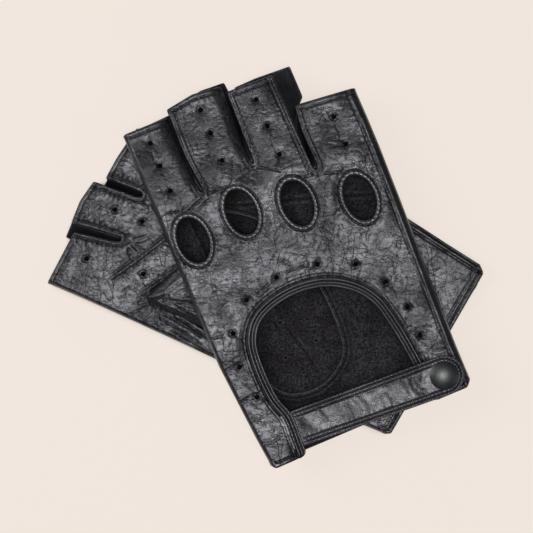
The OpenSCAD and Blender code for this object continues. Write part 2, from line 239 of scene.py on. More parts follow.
# -------------------------------------------------------------------- numbers
class Noise:
    """Smooth noise from -1 to 1, the same on every run."""

    def __init__(self, seed):
        self.table = np.random.default_rng(seed).random((256, 256)) * 2 - 1

    def __call__(self, p, size, stretch=1.0, turn=0.0):
        c, s = math.cos(turn), math.sin(turn)
        x = (c * p[:, 0] + s * p[:, 1]) / (size * stretch)
        y = (-s * p[:, 0] + c * p[:, 1]) / size
        i, j = np.floor(x).astype(int), np.floor(y).astype(int)
        u, v = x - i, y - j
        u = u ** 3 * (u * (u * 6 - 15) + 10)
        v = v ** 3 * (v * (v * 6 - 15) + 10)
        t = self.table
        i0, i1, j0, j1 = i % 256, (i + 1) % 256, j % 256, (j + 1) % 256
        low = t[i0, j0] * (1 - u) + t[i1, j0] * u
        high = t[i0, j1] * (1 - u) + t[i1, j1] * u
        return low * (1 - v) + high * v


def bump_at(d, at, width, height):
    """A rounded ridge, or a groove where height is negative, at a distance."""
    return height * np.exp(-((d - at) / width) ** 2)


def groove(d, at, half, depth):
    """A narrow groove with straight sides, as a row of stitches pulls it in."""
    return -depth * np.clip(1 - np.abs(d - at) / half, 0, 1)


def quarter_round(d, r):
    """From 0 at d = 0 to 1 at d = r, along a quarter of a circle."""
    t = np.clip(d / r, 0, 1)
    return np.sqrt(np.maximum(0, 1 - (1 - t) ** 2))


def spline(points, closed=False, step=0.5):
    """A Catmull-Rom curve through the points, in even steps."""
    p = np.asarray(points, float)
    if closed:
        q = np.vstack([p[-1], p, p[0], p[1]])
    else:
        q = np.vstack([2 * p[0] - p[1], p, 2 * p[-1] - p[-2]])
    out = []
    for i in range(1, len(q) - 2):
        a, b, c, d = q[i - 1], q[i], q[i + 1], q[i + 2]
        t = np.linspace(0, 1, 16, endpoint=False)[:, None]
        out.append(0.5 * (2 * b + (c - a) * t + (2 * a - 5 * b + 4 * c - d) * t * t
                          + (3 * b - a - 3 * c + d) * t ** 3))
    if not closed:
        out.append(q[-2][None])
    return even(np.vstack(out), closed, step)


def even(points, closed=False, step=0.5):
    """The same line with its points in even steps."""
    p = np.asarray(points, float)
    if closed:
        p = np.vstack([p, p[:1]])
    s = np.concatenate([[0], np.cumsum(np.linalg.norm(np.diff(p, axis=0), axis=1))])
    n = max(2, int(round(s[-1] / step)))
    at = np.linspace(0, s[-1], n + 1)
    if closed:
        at = at[:-1]
    return np.stack([np.interp(at, s, p[:, k]) for k in range(p.shape[1])], 1)


def ellipse(c, rx, ry, step=0.5):
    n = int(2 * math.pi * max(rx, ry) / step)
    t = np.linspace(0, 2 * math.pi, n, endpoint=False)
    return np.stack([c[0] + rx * np.cos(t), c[1] + ry * np.sin(t)], 1)


def unit(v):
    return v / np.maximum(np.linalg.norm(v, axis=1), 1e-9)[:, None]


def left_of(path, closed=False):
    """At each point of a path, the unit vector to its left."""
    t = np.roll(path, -1, 0) - np.roll(path, 1, 0) if closed else np.gradient(path, axis=0)
    t = unit(t)
    return np.stack([-t[:, 1], t[:, 0]], 1)


def offset(path, distance, closed=False):
    """The path moved to its left."""
    return path + distance * left_of(path, closed)


def away(p, centre):
    """How far points are from a centre."""
    return np.linalg.norm(p - np.array(centre), axis=1)


def twice_area(loop):
    """Twice a closed loop's area, above 0 where it runs anticlockwise."""
    x, y = loop[:, 0], loop[:, 1]
    return np.sum(x * np.roll(y, -1) - np.roll(x, -1) * y)


def inwards(loop):
    """At each point of a closed loop, the unit vector into it."""
    return left_of(loop, True) * np.sign(twice_area(loop))


class Line:
    """Says how far points are from a polyline, and how far along it."""

    def __init__(self, points, closed=False, step=0.2):
        self.p = even(points, closed, step)
        self.step = np.linalg.norm(self.p[1] - self.p[0])
        self.closed = closed
        self.tree = kdtree.KDTree(len(self.p))
        for i, (x, y) in enumerate(self.p.tolist()):
            self.tree.insert((x, y, 0), i)
        self.tree.balance()
        self.length = self.step * (len(self.p) - (0 if closed else 1))

    def near(self, q):
        """Distance and length along the line, for each point of q."""
        i = np.array([self.tree.find((x, y, 0))[1] for x, y in q.tolist()])
        n = len(self.p)
        best = np.full(len(q), 1e9)
        along = np.zeros(len(q))
        for k in (-1, 0):
            if self.closed:
                a, b = (i + k) % n, (i + k + 1) % n
            else:
                a = np.clip(i + k, 0, n - 2)
                b = a + 1
            ab = self.p[b] - self.p[a]
            t = np.clip(((q - self.p[a]) * ab).sum(1) / (ab ** 2).sum(1), 0, 1)
            d = np.linalg.norm(q - self.p[a] - ab * t[:, None], axis=1)
            closer = d < best
            best = np.where(closer, d, best)
            along = np.where(closer, (a + t) * self.step, along)
        return best, along


def inside(polygon, q):
    """Which points lie inside a closed polygon."""
    x, y = q[:, 0], q[:, 1]
    odd = np.zeros(len(q), bool)
    x1, y1 = polygon[-1]
    for x2, y2 in polygon:
        if y1 != y2:
            crosses = (y1 > y) != (y2 > y)
            odd ^= crosses & (x < (x2 - x1) * (y - y1) / (y2 - y1) + x1)
        x1, y1 = x2, y2
    return odd


def nearest(runs, p):
    """Distance and length along, to the nearest of some Lines."""
    best, along = runs[0].near(p)
    for k, line in enumerate(runs[1:]):
        d, a = line.near(p)
        closer = d < best
        best = np.where(closer, d, best)
        along = np.where(closer, a + 37.0 * (k + 1), along)
    return best, along


class Creases:
    """Fine folds in the leather: each is a valley with a soft lip beside it."""

    def __init__(self, seed):
        self.random = np.random.default_rng(seed)
        self.points = []
        self.depths = []
        self.tree = None

    def add(self, start, angle, length, depth, wander=0.25):
        n = max(3, int(length / FOLD_STEP))
        p = np.array(start, float)
        curl = self.random.normal(0, wander / 6)
        for i in range(n):
            t = i / (n - 1)
            self.points.append(p.copy())
            self.depths.append(depth * (1 - t) ** 0.7 * min(1, 0.4 + t * 6))
            angle += curl + self.random.normal(0, wander / 4)
            p = p + FOLD_STEP * np.array([math.cos(angle), math.sin(angle)])

    def fan(self, centre, angles, start, length, depth, wander=0.2):
        """Folds that run out from a point, at these angles in degrees."""
        for a in angles:
            a = math.radians(a + self.random.normal(0, 5))
            p = np.array(centre) + start * np.array([math.cos(a), math.sin(a)])
            self.add(p, a, length * self.random.uniform(0.6, 1.25), depth, wander)

    def scatter(self, count, angle, shallow, deep):
        """Short folds all over a panel, most of them near one angle."""
        r = self.random
        for _ in range(count):
            start = (r.uniform(-2, 97), r.uniform(2, 156))
            self.add(start, r.normal(angle, 0.7) + math.pi * r.integers(0, 2),
                     r.uniform(2.5, 9), r.uniform(shallow, deep))

    def path(self, points, depth, ends=3.0):
        """A fold along a chosen curve, which fades at its ends."""
        p = spline(points, step=FOLD_STEP)
        n = len(p)
        for i, q in enumerate(p):
            fade = min(1, (i + 1) * FOLD_STEP / ends, (n - i) * FOLD_STEP / ends)
            self.points.append(q)
            self.depths.append(depth * fade)

    def height(self, q, width=0.43):
        if not self.points:
            return np.zeros(len(q))
        if self.tree is None:
            self.tree = kdtree.KDTree(len(self.points))
            for i, p in enumerate(self.points):
                self.tree.insert((p[0], p[1], 0), i)
            self.tree.balance()
            self.depth = np.array(self.depths)
        found = [self.tree.find((x, y, 0)) for x, y in q.tolist()]
        i = np.array([f[1] for f in found])
        d = np.array([f[2] for f in found])
        return self.depth[i] * (bump_at(d, 0, width, -1) + bump_at(d, 2.1 * width,
                                                                    width, 0.42))


# ------------------------------------------------------------------- the mesh
class Sheet:
    """A flat cut of leather as triangles: even inside, with fine rows of points
    along its edges so that they can be rounded."""

    def __init__(self, outline, holes=(), spacing=0.62, soften=0.8, pull=0.0,
                 rows=SHEET_ROWS):
        self.rows = rows
        self.outer_loop, self.labels = self.loop(outline, spacing, soften)
        if pull:
            self.pull_in(pull)
        self.loops = [self.outer_loop]
        for hole in holes:
            self.loops.append(even(hole, True, min(spacing, 0.5)))
        self.rims = [Line(p, True, 0.15) for p in self.loops]
        self.build(spacing)

    def loop(self, outline, spacing, soften):
        points, labels = [], []
        for label, part in outline:
            p = even(part, False, spacing * 0.8)[:-1]
            points.append(p)
            labels += [label] * len(p)
        p = np.vstack(points)
        # rounds the corners off a little, as cut and turned leather has them
        reach = np.arange(-6, 7)
        weight = np.exp(-(reach * spacing * 0.8 / soften) ** 2)
        weight /= weight.sum()
        p = sum(w * np.roll(p, -k, 0) for k, w in zip(reach, weight))
        return p, np.array(labels)

    def pull_in(self, pull):
        """Folded edges give half a leather back to the outside of the fold."""
        folded = np.isin(self.labels, ("index", "little")).astype(float)
        for _ in range(8):
            folded = (np.roll(folded, 1) + folded + np.roll(folded, -1)) / 3
        self.outer_loop = (self.outer_loop
                           + inwards(self.outer_loop) * (pull * folded)[:, None])

    def build(self, spacing):
        lo, hi = self.outer_loop.min(0), self.outer_loop.max(0)
        xs = np.arange(lo[0], hi[0], spacing)
        ys = np.arange(lo[1], hi[1], spacing * 0.866)
        x, y = np.meshgrid(xs, ys)
        x = x + (np.arange(len(ys)) % 2)[:, None] * spacing / 2
        q = np.stack([x.ravel(), y.ravel()], 1)
        q = q[self.holds(q)]
        q = q[self.rim(q) > self.rows[-1] + 0.3]
        rows = []
        for k, p in enumerate(self.loops):
            n = inwards(p) * (1 if k == 0 else -1)
            for d in self.rows:
                row = p + n * d
                row = row[self.holds(row)]
                rows.append(row[self.rim(row) > 0.93 * d])
        fixed = np.vstack(self.loops)
        points = np.vstack([fixed, *rows, q])
        edges, at = [], 0
        for p in self.loops:
            edges += [(at + i, at + (i + 1) % len(p)) for i in range(len(p))]
            at += len(p)
        made = delaunay_2d_cdt([Vector(p) for p in points.tolist()], edges, [], 0,
                               1e-7, False)
        flat = np.array([tuple(v) for v in made[0]])
        tris = np.array(made[2])
        middle = flat[tris].mean(1)
        tris = tris[self.holds(middle)]
        used = np.unique(tris)
        new = np.full(len(flat), -1)
        new[used] = np.arange(len(used))
        self.flat, tris = flat[used], new[tris]
        a, b, c = (self.flat[tris[:, k]] for k in range(3))
        area = ((b - a)[:, 0] * (c - a)[:, 1] - (b - a)[:, 1] * (c - a)[:, 0])
        keep = np.abs(area) > 1e-7
        tris, area = tris[keep], area[keep]
        tris[area < 0] = tris[area < 0][:, ::-1]
        self.tris = tris
        self.border = border_of(tris, len(self.flat))
        self.rim_d = self.rim(self.flat)

    def holds(self, q):
        ok = inside(self.outer_loop, q)
        for p in self.loops[1:]:
            ok &= ~inside(p, q)
        return ok

    def rim(self, q):
        return np.min([line.near(q)[0] for line in self.rims], 0)

    def runs(self, *labels):
        """The stretches of the outline that have these labels."""
        mark = np.isin(self.labels, labels)
        n = len(mark)
        starts = [i for i in range(n) if mark[i] and not mark[i - 1]]
        found = []
        for i in starts:
            j = i
            while mark[(j + 1) % n] and j - i < n:
                j += 1
            found.append(self.outer_loop[np.arange(i, j + 2) % n])
        return found

    def lines(self, *labels):
        return [Line(run) for run in self.runs(*labels)]


def border_of(tris, count):
    """The edges that only one triangle has, in a mesh of so many points."""
    pairs = np.vstack([tris[:, [0, 1]], tris[:, [1, 2]], tris[:, [2, 0]]]).astype(np.int64)
    ahead = pairs[:, 0] * count + pairs[:, 1]
    back = pairs[:, 1] * count + pairs[:, 0]
    return pairs[~np.isin(ahead, back)]


def two_faces(tris, border, count):
    """The triangles of a sheet with two faces, closed along its border. The points
    of the second face follow the first's, which are so many."""
    a, b = border[:, 0], border[:, 1]
    walls = np.vstack([np.stack([a, a + count, b + count], 1),
                       np.stack([a, b + count, b], 1)])
    return np.vstack([tris, tris[:, ::-1] + count, walls])


def vertex_normals(v, tris):
    n = np.zeros_like(v)
    a, b, c = (v[tris[:, k]] for k in range(3))
    f = np.cross(b - a, c - a)
    for k in range(3):
        np.add.at(n, tris[:, k], f)
    length = np.linalg.norm(n, axis=1)
    return n / np.maximum(length, 1e-12)[:, None]


def make_mesh(name, verts, faces, materials, face_material=None):
    mesh = bpy.data.meshes.new(name)
    mesh.vertices.add(len(verts))
    mesh.vertices.foreach_set("co", np.asarray(verts, np.float32).ravel())
    mesh.loops.add(faces.size)
    mesh.loops.foreach_set("vertex_index", faces.ravel().astype(np.int32))
    mesh.polygons.add(len(faces))
    mesh.polygons.foreach_set("loop_start", np.arange(0, faces.size, 3, dtype=np.int32))
    for m in materials:
        mesh.materials.append(m)
    if face_material is not None:
        mesh.polygons.foreach_set("material_index", np.asarray(face_material, np.int32))
    mesh.update(calc_edges=True)
    mesh.validate()
    mesh.polygons.foreach_set("use_smooth", np.ones(len(mesh.polygons), bool))
    piece = bpy.data.objects.new(name, mesh)
    bpy.context.scene.collection.objects.link(piece)
    return piece


def glove_mesh(name, g, v, faces, materials, face_material=None):
    """A mesh given in the glove's frame. The left glove lies the other way up."""
    if g == LEFT:
        faces = faces[:, ::-1]
    return make_mesh(name, place(g, v), faces, materials, face_material)


def halves(quads):
    """Each quad as two triangles."""
    quads = quads.reshape(-1, 4)
    return np.vstack([quads[:, [0, 1, 2]], quads[:, [0, 2, 3]]])


def shell(name, g, sheet, mid, half, up, materials, outer=None, inner=None):
    """A sheet with thickness. up is 1 where its outer face looks along +z."""
    p = sheet.flat
    core = np.column_stack([fit(g, p), mid(p)])
    n = vertex_normals(core, sheet.tris) * up
    thick = half(sheet)
    from_rim = smooth(sheet.rim_d / 0.5)
    out = core + n * (thick + (outer(p) if outer else 0) * from_rim)[:, None]
    inn = core - n * (thick + (inner(p) if inner else 0) * from_rim)[:, None]
    tris, border = sheet.tris[:, ::up], sheet.border[:, ::up]
    faces = two_faces(tris, border, len(p))
    which = np.zeros(len(faces), int)
    which[len(tris):2 * len(tris)] = 1
    return glove_mesh(name, g, np.vstack([out, inn]), faces, materials, which)


def rounded_half(thickness, folds=()):
    """Half the leather's thickness, rounded off to its cut edges but not to its
    folds, which are Lines."""
    def half(sheet):
        h = thickness / 2 * (0.12 + 0.88 * quarter_round(sheet.rim_d, thickness * 0.55))
        if folds:
            near = 1 - smooth(nearest(folds, sheet.flat)[0] / 0.9)
            h = h + (thickness / 2 - h) * near
        return h
    return half


def sweep(name, g, path, section, closed, materials):
    """A closed cross-section carried along a path. section(arc) gives, for each
    station, its points as (distance to the path's left, z)."""
    left = left_of(path, closed)
    step = np.linalg.norm(np.diff(path, axis=0), axis=1)
    arc = np.concatenate([[0], np.cumsum(step)])[:len(path)]
    s, z = section(arc)
    k = s.shape[1]
    flat = (path[:, None, :] + left[:, None, :] * s[:, :, None]).reshape(-1, 2)
    v = np.column_stack([fit(g, flat), z.reshape(-1) - tab_drop(g, flat)])
    n = len(path)
    rings = n if closed else n - 1
    i = np.arange(rings)[:, None] * k
    i2 = ((np.arange(rings) + 1) % n)[:, None] * k
    j = np.arange(k)[None]
    j2 = (j + 1) % k
    tris = halves(np.stack([i + j, i + j2, i2 + j2, i2 + j], -1))
    if not closed:
        fan0 = np.stack([np.zeros(k - 2, int), np.arange(2, k), np.arange(1, k - 1)], 1)
        fan1 = np.stack([np.zeros(k - 2, int), np.arange(1, k - 1), np.arange(2, k)], 1)
        tris = np.vstack([tris, fan0, fan1 + (n - 1) * k])
    return glove_mesh(name, g, v, outwards(v, tris), materials)


def outwards(v, tris):
    """The triangles, turned over if they look into the solid that they close."""
    a, b, c = (v[tris[:, k]] for k in range(3))
    volume = np.einsum("ij,ij->i", a, np.cross(b, c)).sum() / 6
    return tris[:, ::-1] if volume < 0 else tris


# --------------------------------------------------------------------- stitches
def capsule(sides=6, rings=5):
    """One stitch of unit length and unit half width, its ends bent down."""
    v, f = [], []
    for i in range(rings):
        t = i / (rings - 1)
        r = max(0.25, math.sin(math.pi * (0.08 + 0.84 * t)) ** 0.5)
        dip = -1.6 * (2 * t - 1) ** 4
        for k in range(sides):
            a = 2 * math.pi * k / sides
            v.append((t - 0.5, r * math.cos(a), r * math.sin(a) + dip))
    for i in range(rings - 1):
        for k in range(sides):
            a, b = i * sides + k, i * sides + (k + 1) % sides
            f.append((a, b, b + sides))
            f.append((a, b + sides, a + sides))
    for base, flip in ((0, True), ((rings - 1) * sides, False)):
        for k in range(1, sides - 1):
            tri = (base, base + k, base + k + 1)
            f.append(tri[::-1] if flip else tri)
    return np.array(v), np.array(f)


STITCH = capsule()


class Thread:
    """Rows of stitches, gathered into one piece for each part of a glove."""

    def __init__(self, g, up):
        self.g, self.up = g, up
        self.verts, self.faces, self.count = [], [], 0

    def row(self, path, height, pitch=2.1, length=1.45, width=0.24, closed=False,
            lift=0.05):
        """Stitches along a path. height(points) is the leather's outer face there."""
        p = even(path, closed, pitch)
        if closed:
            t = np.roll(p, -1, 0) - np.roll(p, 1, 0)
            centre = p
        else:
            centre = (p[:-1] + p[1:]) / 2
            t = p[1:] - p[:-1]
        if not len(centre):
            return

        def on_face(q):
            return np.column_stack([fit(self.g, q), height(q) + self.up * lift])

        c = on_face(centre)
        t3 = unit(on_face(centre + unit(t) * 0.5) - c)
        side = unit(np.cross(np.tile([0, 0, float(self.up)], (len(c), 1)), t3))
        up3 = np.cross(t3, side)
        v, f = STITCH
        pts = (c[:, None] + t3[:, None] * (v[:, 0] * length)[None, :, None]
               + side[:, None] * (v[:, 1] * width)[None, :, None]
               + up3[:, None] * (v[:, 2] * width * 0.8)[None, :, None])
        k = len(v)
        faces = f[None] + (np.arange(len(c)) * k)[:, None, None] + self.count
        self.verts.append(pts.reshape(-1, 3))
        self.faces.append(faces.reshape(-1, 3))
        self.count += len(c) * k

    def make(self, name):
        v = np.vstack(self.verts)
        f = outwards(v - v.mean(0), np.vstack(self.faces))
        return glove_mesh(name, self.g, v, f, [THREAD])


# -------------------------------------------------------------------- materials
def node_tree(name):
    m = bpy.data.materials.new(name)
    m.use_nodes = True
    nt = m.node_tree
    nt.nodes.clear()
    out = nt.nodes.new("ShaderNodeOutputMaterial")
    shader = nt.nodes.new("ShaderNodeBsdfPrincipled")
    nt.links.new(shader.outputs["BSDF"], out.inputs["Surface"])
    return m, nt, shader


def node(nt, kind, **values):
    """A node, with these values on its sockets or its own settings."""
    n = nt.nodes.new("ShaderNode" + kind)
    for key, value in values.items():
        if key in n.inputs:
            n.inputs[key].default_value = value
        else:
            setattr(n, key, value)
    return n


def noise(nt, where, scale, detail, **values):
    """Noise from 0 to 1, with its scale in cells per millimetre."""
    n = node(nt, "TexNoise", Scale=scale, Detail=detail, **values)
    nt.links.new(where, n.inputs["Vector"])
    return n.outputs["Fac"]


def times(nt, a, b):
    return maths(nt, "MULTIPLY", a, b)


def mixed(nt, a, b, factor, how="MIX"):
    """Two colours mixed. Each of the three is a value or a socket."""
    n = nt.nodes.new("ShaderNodeMix")
    n.data_type = "RGBA"
    n.blend_type = how
    for socket, v in zip(("A", "B", "Factor"), (a, b, factor)):
        if isinstance(v, bpy.types.NodeSocket):
            nt.links.new(v, n.inputs[socket])
        else:
            n.inputs[socket].default_value = (*v, 1) if isinstance(v, tuple) else v
    return n.outputs["Result"]


def bent(nt):
    """0.5 on flat leather, more on a ridge and less in a groove."""
    return nt.nodes.new("ShaderNodeNewGeometry").outputs["Pointiness"]


def in_mm(nt, stretch=(1, 1, 1), turn=0.0):
    """Texture coordinates that count millimetres on the piece itself."""
    where = nt.nodes.new("ShaderNodeTexCoord")
    m = nt.nodes.new("ShaderNodeMapping")
    m.inputs["Scale"].default_value = [1000 * s for s in stretch]
    m.inputs["Rotation"].default_value = (0, 0, turn)
    nt.links.new(where.outputs["Object"], m.inputs["Vector"])
    return m.outputs["Vector"]


def ramp(nt, value, stops):
    n = nt.nodes.new("ShaderNodeValToRGB")
    e = n.color_ramp.elements
    while len(e) < len(stops):
        e.new(0.5)
    for k, (at, v) in enumerate(stops):
        e[k].position = at
        e[k].color = (*v, 1) if isinstance(v, tuple) else (v, v, v, 1)
    nt.links.new(value, n.inputs["Fac"])
    return n.outputs["Color"]


def maths(nt, how, a, b=None, c=None):
    n = nt.nodes.new("ShaderNodeMath")
    n.operation = how
    for k, v in enumerate((a, b, c)):
        if v is None:
            continue
        if isinstance(v, (int, float)):
            n.inputs[k].default_value = v
        else:
            nt.links.new(v, n.inputs[k])
    return n.outputs[0]


def bumps(nt, shader, layers):
    """Bump layers, each (height, depth in mm)."""
    last = None
    for height, depth in layers:
        n = nt.nodes.new("ShaderNodeBump")
        n.inputs["Strength"].default_value = 1.0
        n.inputs["Distance"].default_value = depth * MM
        nt.links.new(height, n.inputs["Height"])
        if last is not None:
            nt.links.new(last, n.inputs["Normal"])
        last = n.outputs["Normal"]
    nt.links.new(last, shader.inputs["Normal"])


def warped(nt, where, size, amount):
    n = node(nt, "TexNoise", Scale=1 / size, Detail=2.0)
    nt.links.new(where, n.inputs["Vector"])
    minus = nt.nodes.new("ShaderNodeVectorMath")
    minus.operation = "SUBTRACT"
    nt.links.new(n.outputs["Color"], minus.inputs[0])
    minus.inputs[1].default_value = (0.5, 0.5, 0.5)
    add = nt.nodes.new("ShaderNodeVectorMath")
    add.operation = "MULTIPLY_ADD"
    nt.links.new(minus.outputs[0], add.inputs[0])
    add.inputs[1].default_value = (amount,) * 3
    nt.links.new(where, add.inputs[2])
    return add.outputs[0]


def creased(nt, where, size, warp, line):
    """Leather creased into a net: its height, and a mask that is 0 in the creases."""
    net = node(nt, "TexVoronoi", feature="DISTANCE_TO_EDGE", Scale=1 / size)
    nt.links.new(warped(nt, where, size * 0.7, warp), net.inputs["Vector"])
    some = noise(nt, where, 1 / (2.2 * size), 1.0)
    gone = ramp(nt, some, [(0.45, 0.0), (0.62, 1.6 * line)])
    far = maths(nt, "ADD", net.outputs["Distance"], gone)
    height = ramp(nt, far, [(0.0, 0.0), (line, 0.6), (min(0.9, 4 * line), 1.0)])
    return height, ramp(nt, far, [(0.0, 0.0), (line, 1.0)])


def open_sky(nt, reach):
    """Painted shade: darker where the leather lies close beside, or under, something else."""
    n = node(nt, "AmbientOcclusion", samples=6, Distance=reach)
    return ramp(nt, n.outputs["AO"], [(0.3, 0.15), (0.85, 1.0)])


def leather(name, light, rough, wrinkle=1.0, grain=1.0, shine=1.0):
    """Glove leather: a fine grain, creases of several sizes, a gloss that varies."""
    m, nt, shader = node_tree(name)
    mm = in_mm(nt)
    long, long_line = creased(nt, in_mm(nt, (1, 0.45, 1), 0.5), 5.5, 3.5, 0.05)
    across, across_line = creased(nt, in_mm(nt, (0.4, 1, 1), -0.35), 2.2, 1.8, 0.08)
    short, short_line = creased(nt, in_mm(nt, (0.7, 1, 1), 0.3), 0.85, 0.7, 0.15)
    fine = noise(nt, mm, 1.7, 3.0, Roughness=0.65)
    patches = noise(nt, mm, 1 / 19, 1.5)
    calm = ramp(nt, patches, [(0.36, 0.55), (0.62, 1.0)])
    bumps(nt, shader, [(times(nt, long, calm), 0.075 * wrinkle),
                       (times(nt, across, calm), 0.048 * wrinkle),
                       (short, 0.042 * wrinkle), (fine, 0.038 * grain)])
    # what lies in a crease or a groove sees less light
    lit = ramp(nt, bent(nt), [(0.36, 0.12), (0.45, 0.55), (0.50, 0.86), (0.58, 1.0)])
    for line, least in ((long_line, 0.44), (across_line, 0.38), (short_line, 0.48)):
        least = 1 - (1 - least) * min(1.0, wrinkle)
        lit = times(nt, lit, maths(nt, "MULTIPLY_ADD", line, 1 - least, least))
    grainy = ramp(nt, fine, [(0.4, 1 - 0.25 * min(1, grain)), (0.6, 1.0)])
    # the grain, and painted shade where other parts lie close beside or over the leather
    lit = times(nt, lit, times(nt, grainy, open_sky(nt, 0.004)))
    handled = ramp(nt, patches, [(0.36, 0.62), (0.6, 1.0)])
    lit = times(nt, lit, handled)
    # the gloss and the colour both follow lit: the grain and patches, and painted shade in
    # creases, grooves and beside other parts
    nt.links.new(times(nt, lit, shine), shader.inputs["Specular IOR Level"])
    shader.inputs["Specular Tint"].default_value = (0.955, 0.94, 1.0, 1)
    nt.links.new(mixed(nt, GRAIN_AND_SHADE_COLOUR, light, lit), shader.inputs["Base Color"])
    r = maths(nt, "MULTIPLY_ADD", patches, -0.05, rough + 0.03)
    r = maths(nt, "MULTIPLY_ADD", fine, -0.04, r)
    nt.links.new(r, shader.inputs["Roughness"])
    return m


def suede(name, dark, light):
    """The flesh side: a short nap with paler fibres."""
    m, nt, shader = node_tree(name)
    mm = in_mm(nt)
    nap = noise(nt, mm, 1.15, 5.0, Roughness=0.7)
    patch = noise(nt, mm, 1 / 9, 3.0)
    fibres = ramp(nt, nap, [(0.42, dark), (0.61, light)])
    worn = ramp(nt, patch, [(0.38, (0.5, 0.42, 0.42)), (0.62, (0.93, 0.93, 0.96))])
    # painted light and shade: darker in grooves and folds, lighter on ridges, and darker where
    # other parts lie close
    near = ramp(nt, bent(nt), [(0.42, 0.12), (0.5, 0.45), (0.58, 1.0)])
    lit = times(nt, near, open_sky(nt, 0.012))
    nt.links.new(mixed(nt, mixed(nt, fibres, worn, 0.85, "MULTIPLY"), lit, 1.0, "MULTIPLY"),
                 shader.inputs["Base Color"])
    bumps(nt, shader, [(nap, 0.2)])
    for socket, v in (("Roughness", 0.95), ("Specular IOR Level", 0.15),
                      ("Sheen Weight", 0.25), ("Sheen Roughness", 0.5)):
        shader.inputs[socket].default_value = v
    return m


def thread_material(name, colour):
    m, nt, shader = node_tree(name)
    wave = node(nt, "TexWave", Scale=1.6, Distortion=1.5)
    nt.links.new(in_mm(nt, (1, 1, 1), 0.7), wave.inputs["Vector"])
    twist = wave.outputs["Fac"]
    nt.links.new(ramp(nt, twist, [(0.0, tuple(c * 0.55 for c in colour)), (0.8, colour)]),
                 shader.inputs["Base Color"])
    bumps(nt, shader, [(twist, 0.06)])
    shader.inputs["Roughness"].default_value = 0.42
    return m


def enamel(name, colour, rough):
    m, nt, shader = node_tree(name)
    mm = in_mm(nt)
    worn = tuple(c * 2.2 for c in colour)
    nt.links.new(ramp(nt, bent(nt), [(0.45, colour), (0.62, worn)]),
                 shader.inputs["Base Color"])
    bumps(nt, shader, [(noise(nt, mm, 2.2, 4.0), 0.03)])
    nt.links.new(maths(nt, "MULTIPLY_ADD", noise(nt, mm, 0.22, 2.0), 0.12, rough),
                 shader.inputs["Roughness"])
    return m


def plated(name, colour):
    m, nt, shader = node_tree(name)
    scratch = noise(nt, in_mm(nt, (1, 6, 1)), 1.2, 5.0)
    cloud = noise(nt, in_mm(nt), 0.5, 3.0)
    dull = tuple(c * 0.8 for c in colour)
    nt.links.new(ramp(nt, cloud, [(0.3, dull), (0.7, colour)]), shader.inputs["Base Color"])
    nt.links.new(maths(nt, "MULTIPLY_ADD", scratch, 0.25, 0.18), shader.inputs["Roughness"])
    bumps(nt, shader, [(scratch, 0.01)])
    shader.inputs["Metallic"].default_value = 1.0
    return m


# the colour each leather falls to where its grain and patches are darker, and as painted shade
# in its creases, its grooves and where other parts lie close
GRAIN_AND_SHADE_COLOUR = (0.0025, 0.0025, 0.0034)
BLACK = leather("black_leather", (0.019, 0.018, 0.022), 0.345)
BINDING = leather("binding_leather", (0.021, 0.020, 0.024), 0.32, 0.2, 0.4)
STRAP = leather("strap_leather", (0.021, 0.020, 0.024), 0.34, 0.6, 0.9)
# darker and duller than the black leather, as painted shade for the strips that lie down
# between the fingers; the strap's backing uses it too
FOURCHETTE = leather("fourchette_leather", (0.012, 0.0115, 0.0145), 0.42, 0.6, 0.8, 0.7)
SUEDE = suede("suede_inside", (0.006, 0.006, 0.007), (0.12, 0.115, 0.135))
SHADE = suede("shade_in_holes", (0.0006, 0.0006, 0.0007), (0.0016, 0.0016, 0.0018))
THREAD = thread_material("thread", (0.02, 0.02, 0.022))
ENAMEL = enamel("black_enamel", (0.006, 0.007, 0.009), 0.26)
NICKEL = plated("nickel", (0.55, 0.55, 0.56))


# ------------------------------------------------------------- the glove's parts
def outline_of(tips, hem, opening=None):
    wrist = [("wrist", [(0, hem + 2), (1.6, hem), (92.4, hem), (95, hem + 2.6)])]
    if opening is not None:
        a, b = opening[0], opening[-1]
        wrist = [("wrist", [(0, hem + 2), (1.6, hem), tuple(a)]),
                 ("opening", [tuple(q) for q in opening]),
                 ("wrist", [tuple(b), (92.4, hem), (95, hem + 2.6)])]
    return [*wrist,
            ("little", [(95, hem + 2.6), *LITTLE_EDGE, tips[0][1][0]]),
            *tips,
            ("index", [tips[-1][1][-1], *INDEX_EDGE, (0, hem + 2)])]


def air_holes(centres):
    return [ellipse(c, AIR_HOLE_R, AIR_HOLE_R, 0.45) for c in centres]


def opening_path(g, out=0.0):
    """The back opening's edge, or a line beside it, down to the wrist hem."""
    p = spline(OPENING, step=0.4)
    if out:
        p = offset(p, out)
    return p[p[:, 1] >= BACK_HEM[g]]


def clear_of(lines, p, least):
    """Which points lie further than this from the nearest of some Lines."""
    return nearest(lines, p)[0] > least


def ripple(arc, pitch, noise_, p):
    """Even puckers with a little wander, from -1 to 1."""
    return np.sin(2 * math.pi * arc / pitch + 1.6 * noise_(p, 5.0))


def pinch(arc, pitch, noise_, p):
    """1 at each stitch, where it pulls the leather in, and 0 between stitches."""
    return (0.5 + 0.5 * ripple(arc, pitch, noise_, p)) ** 4


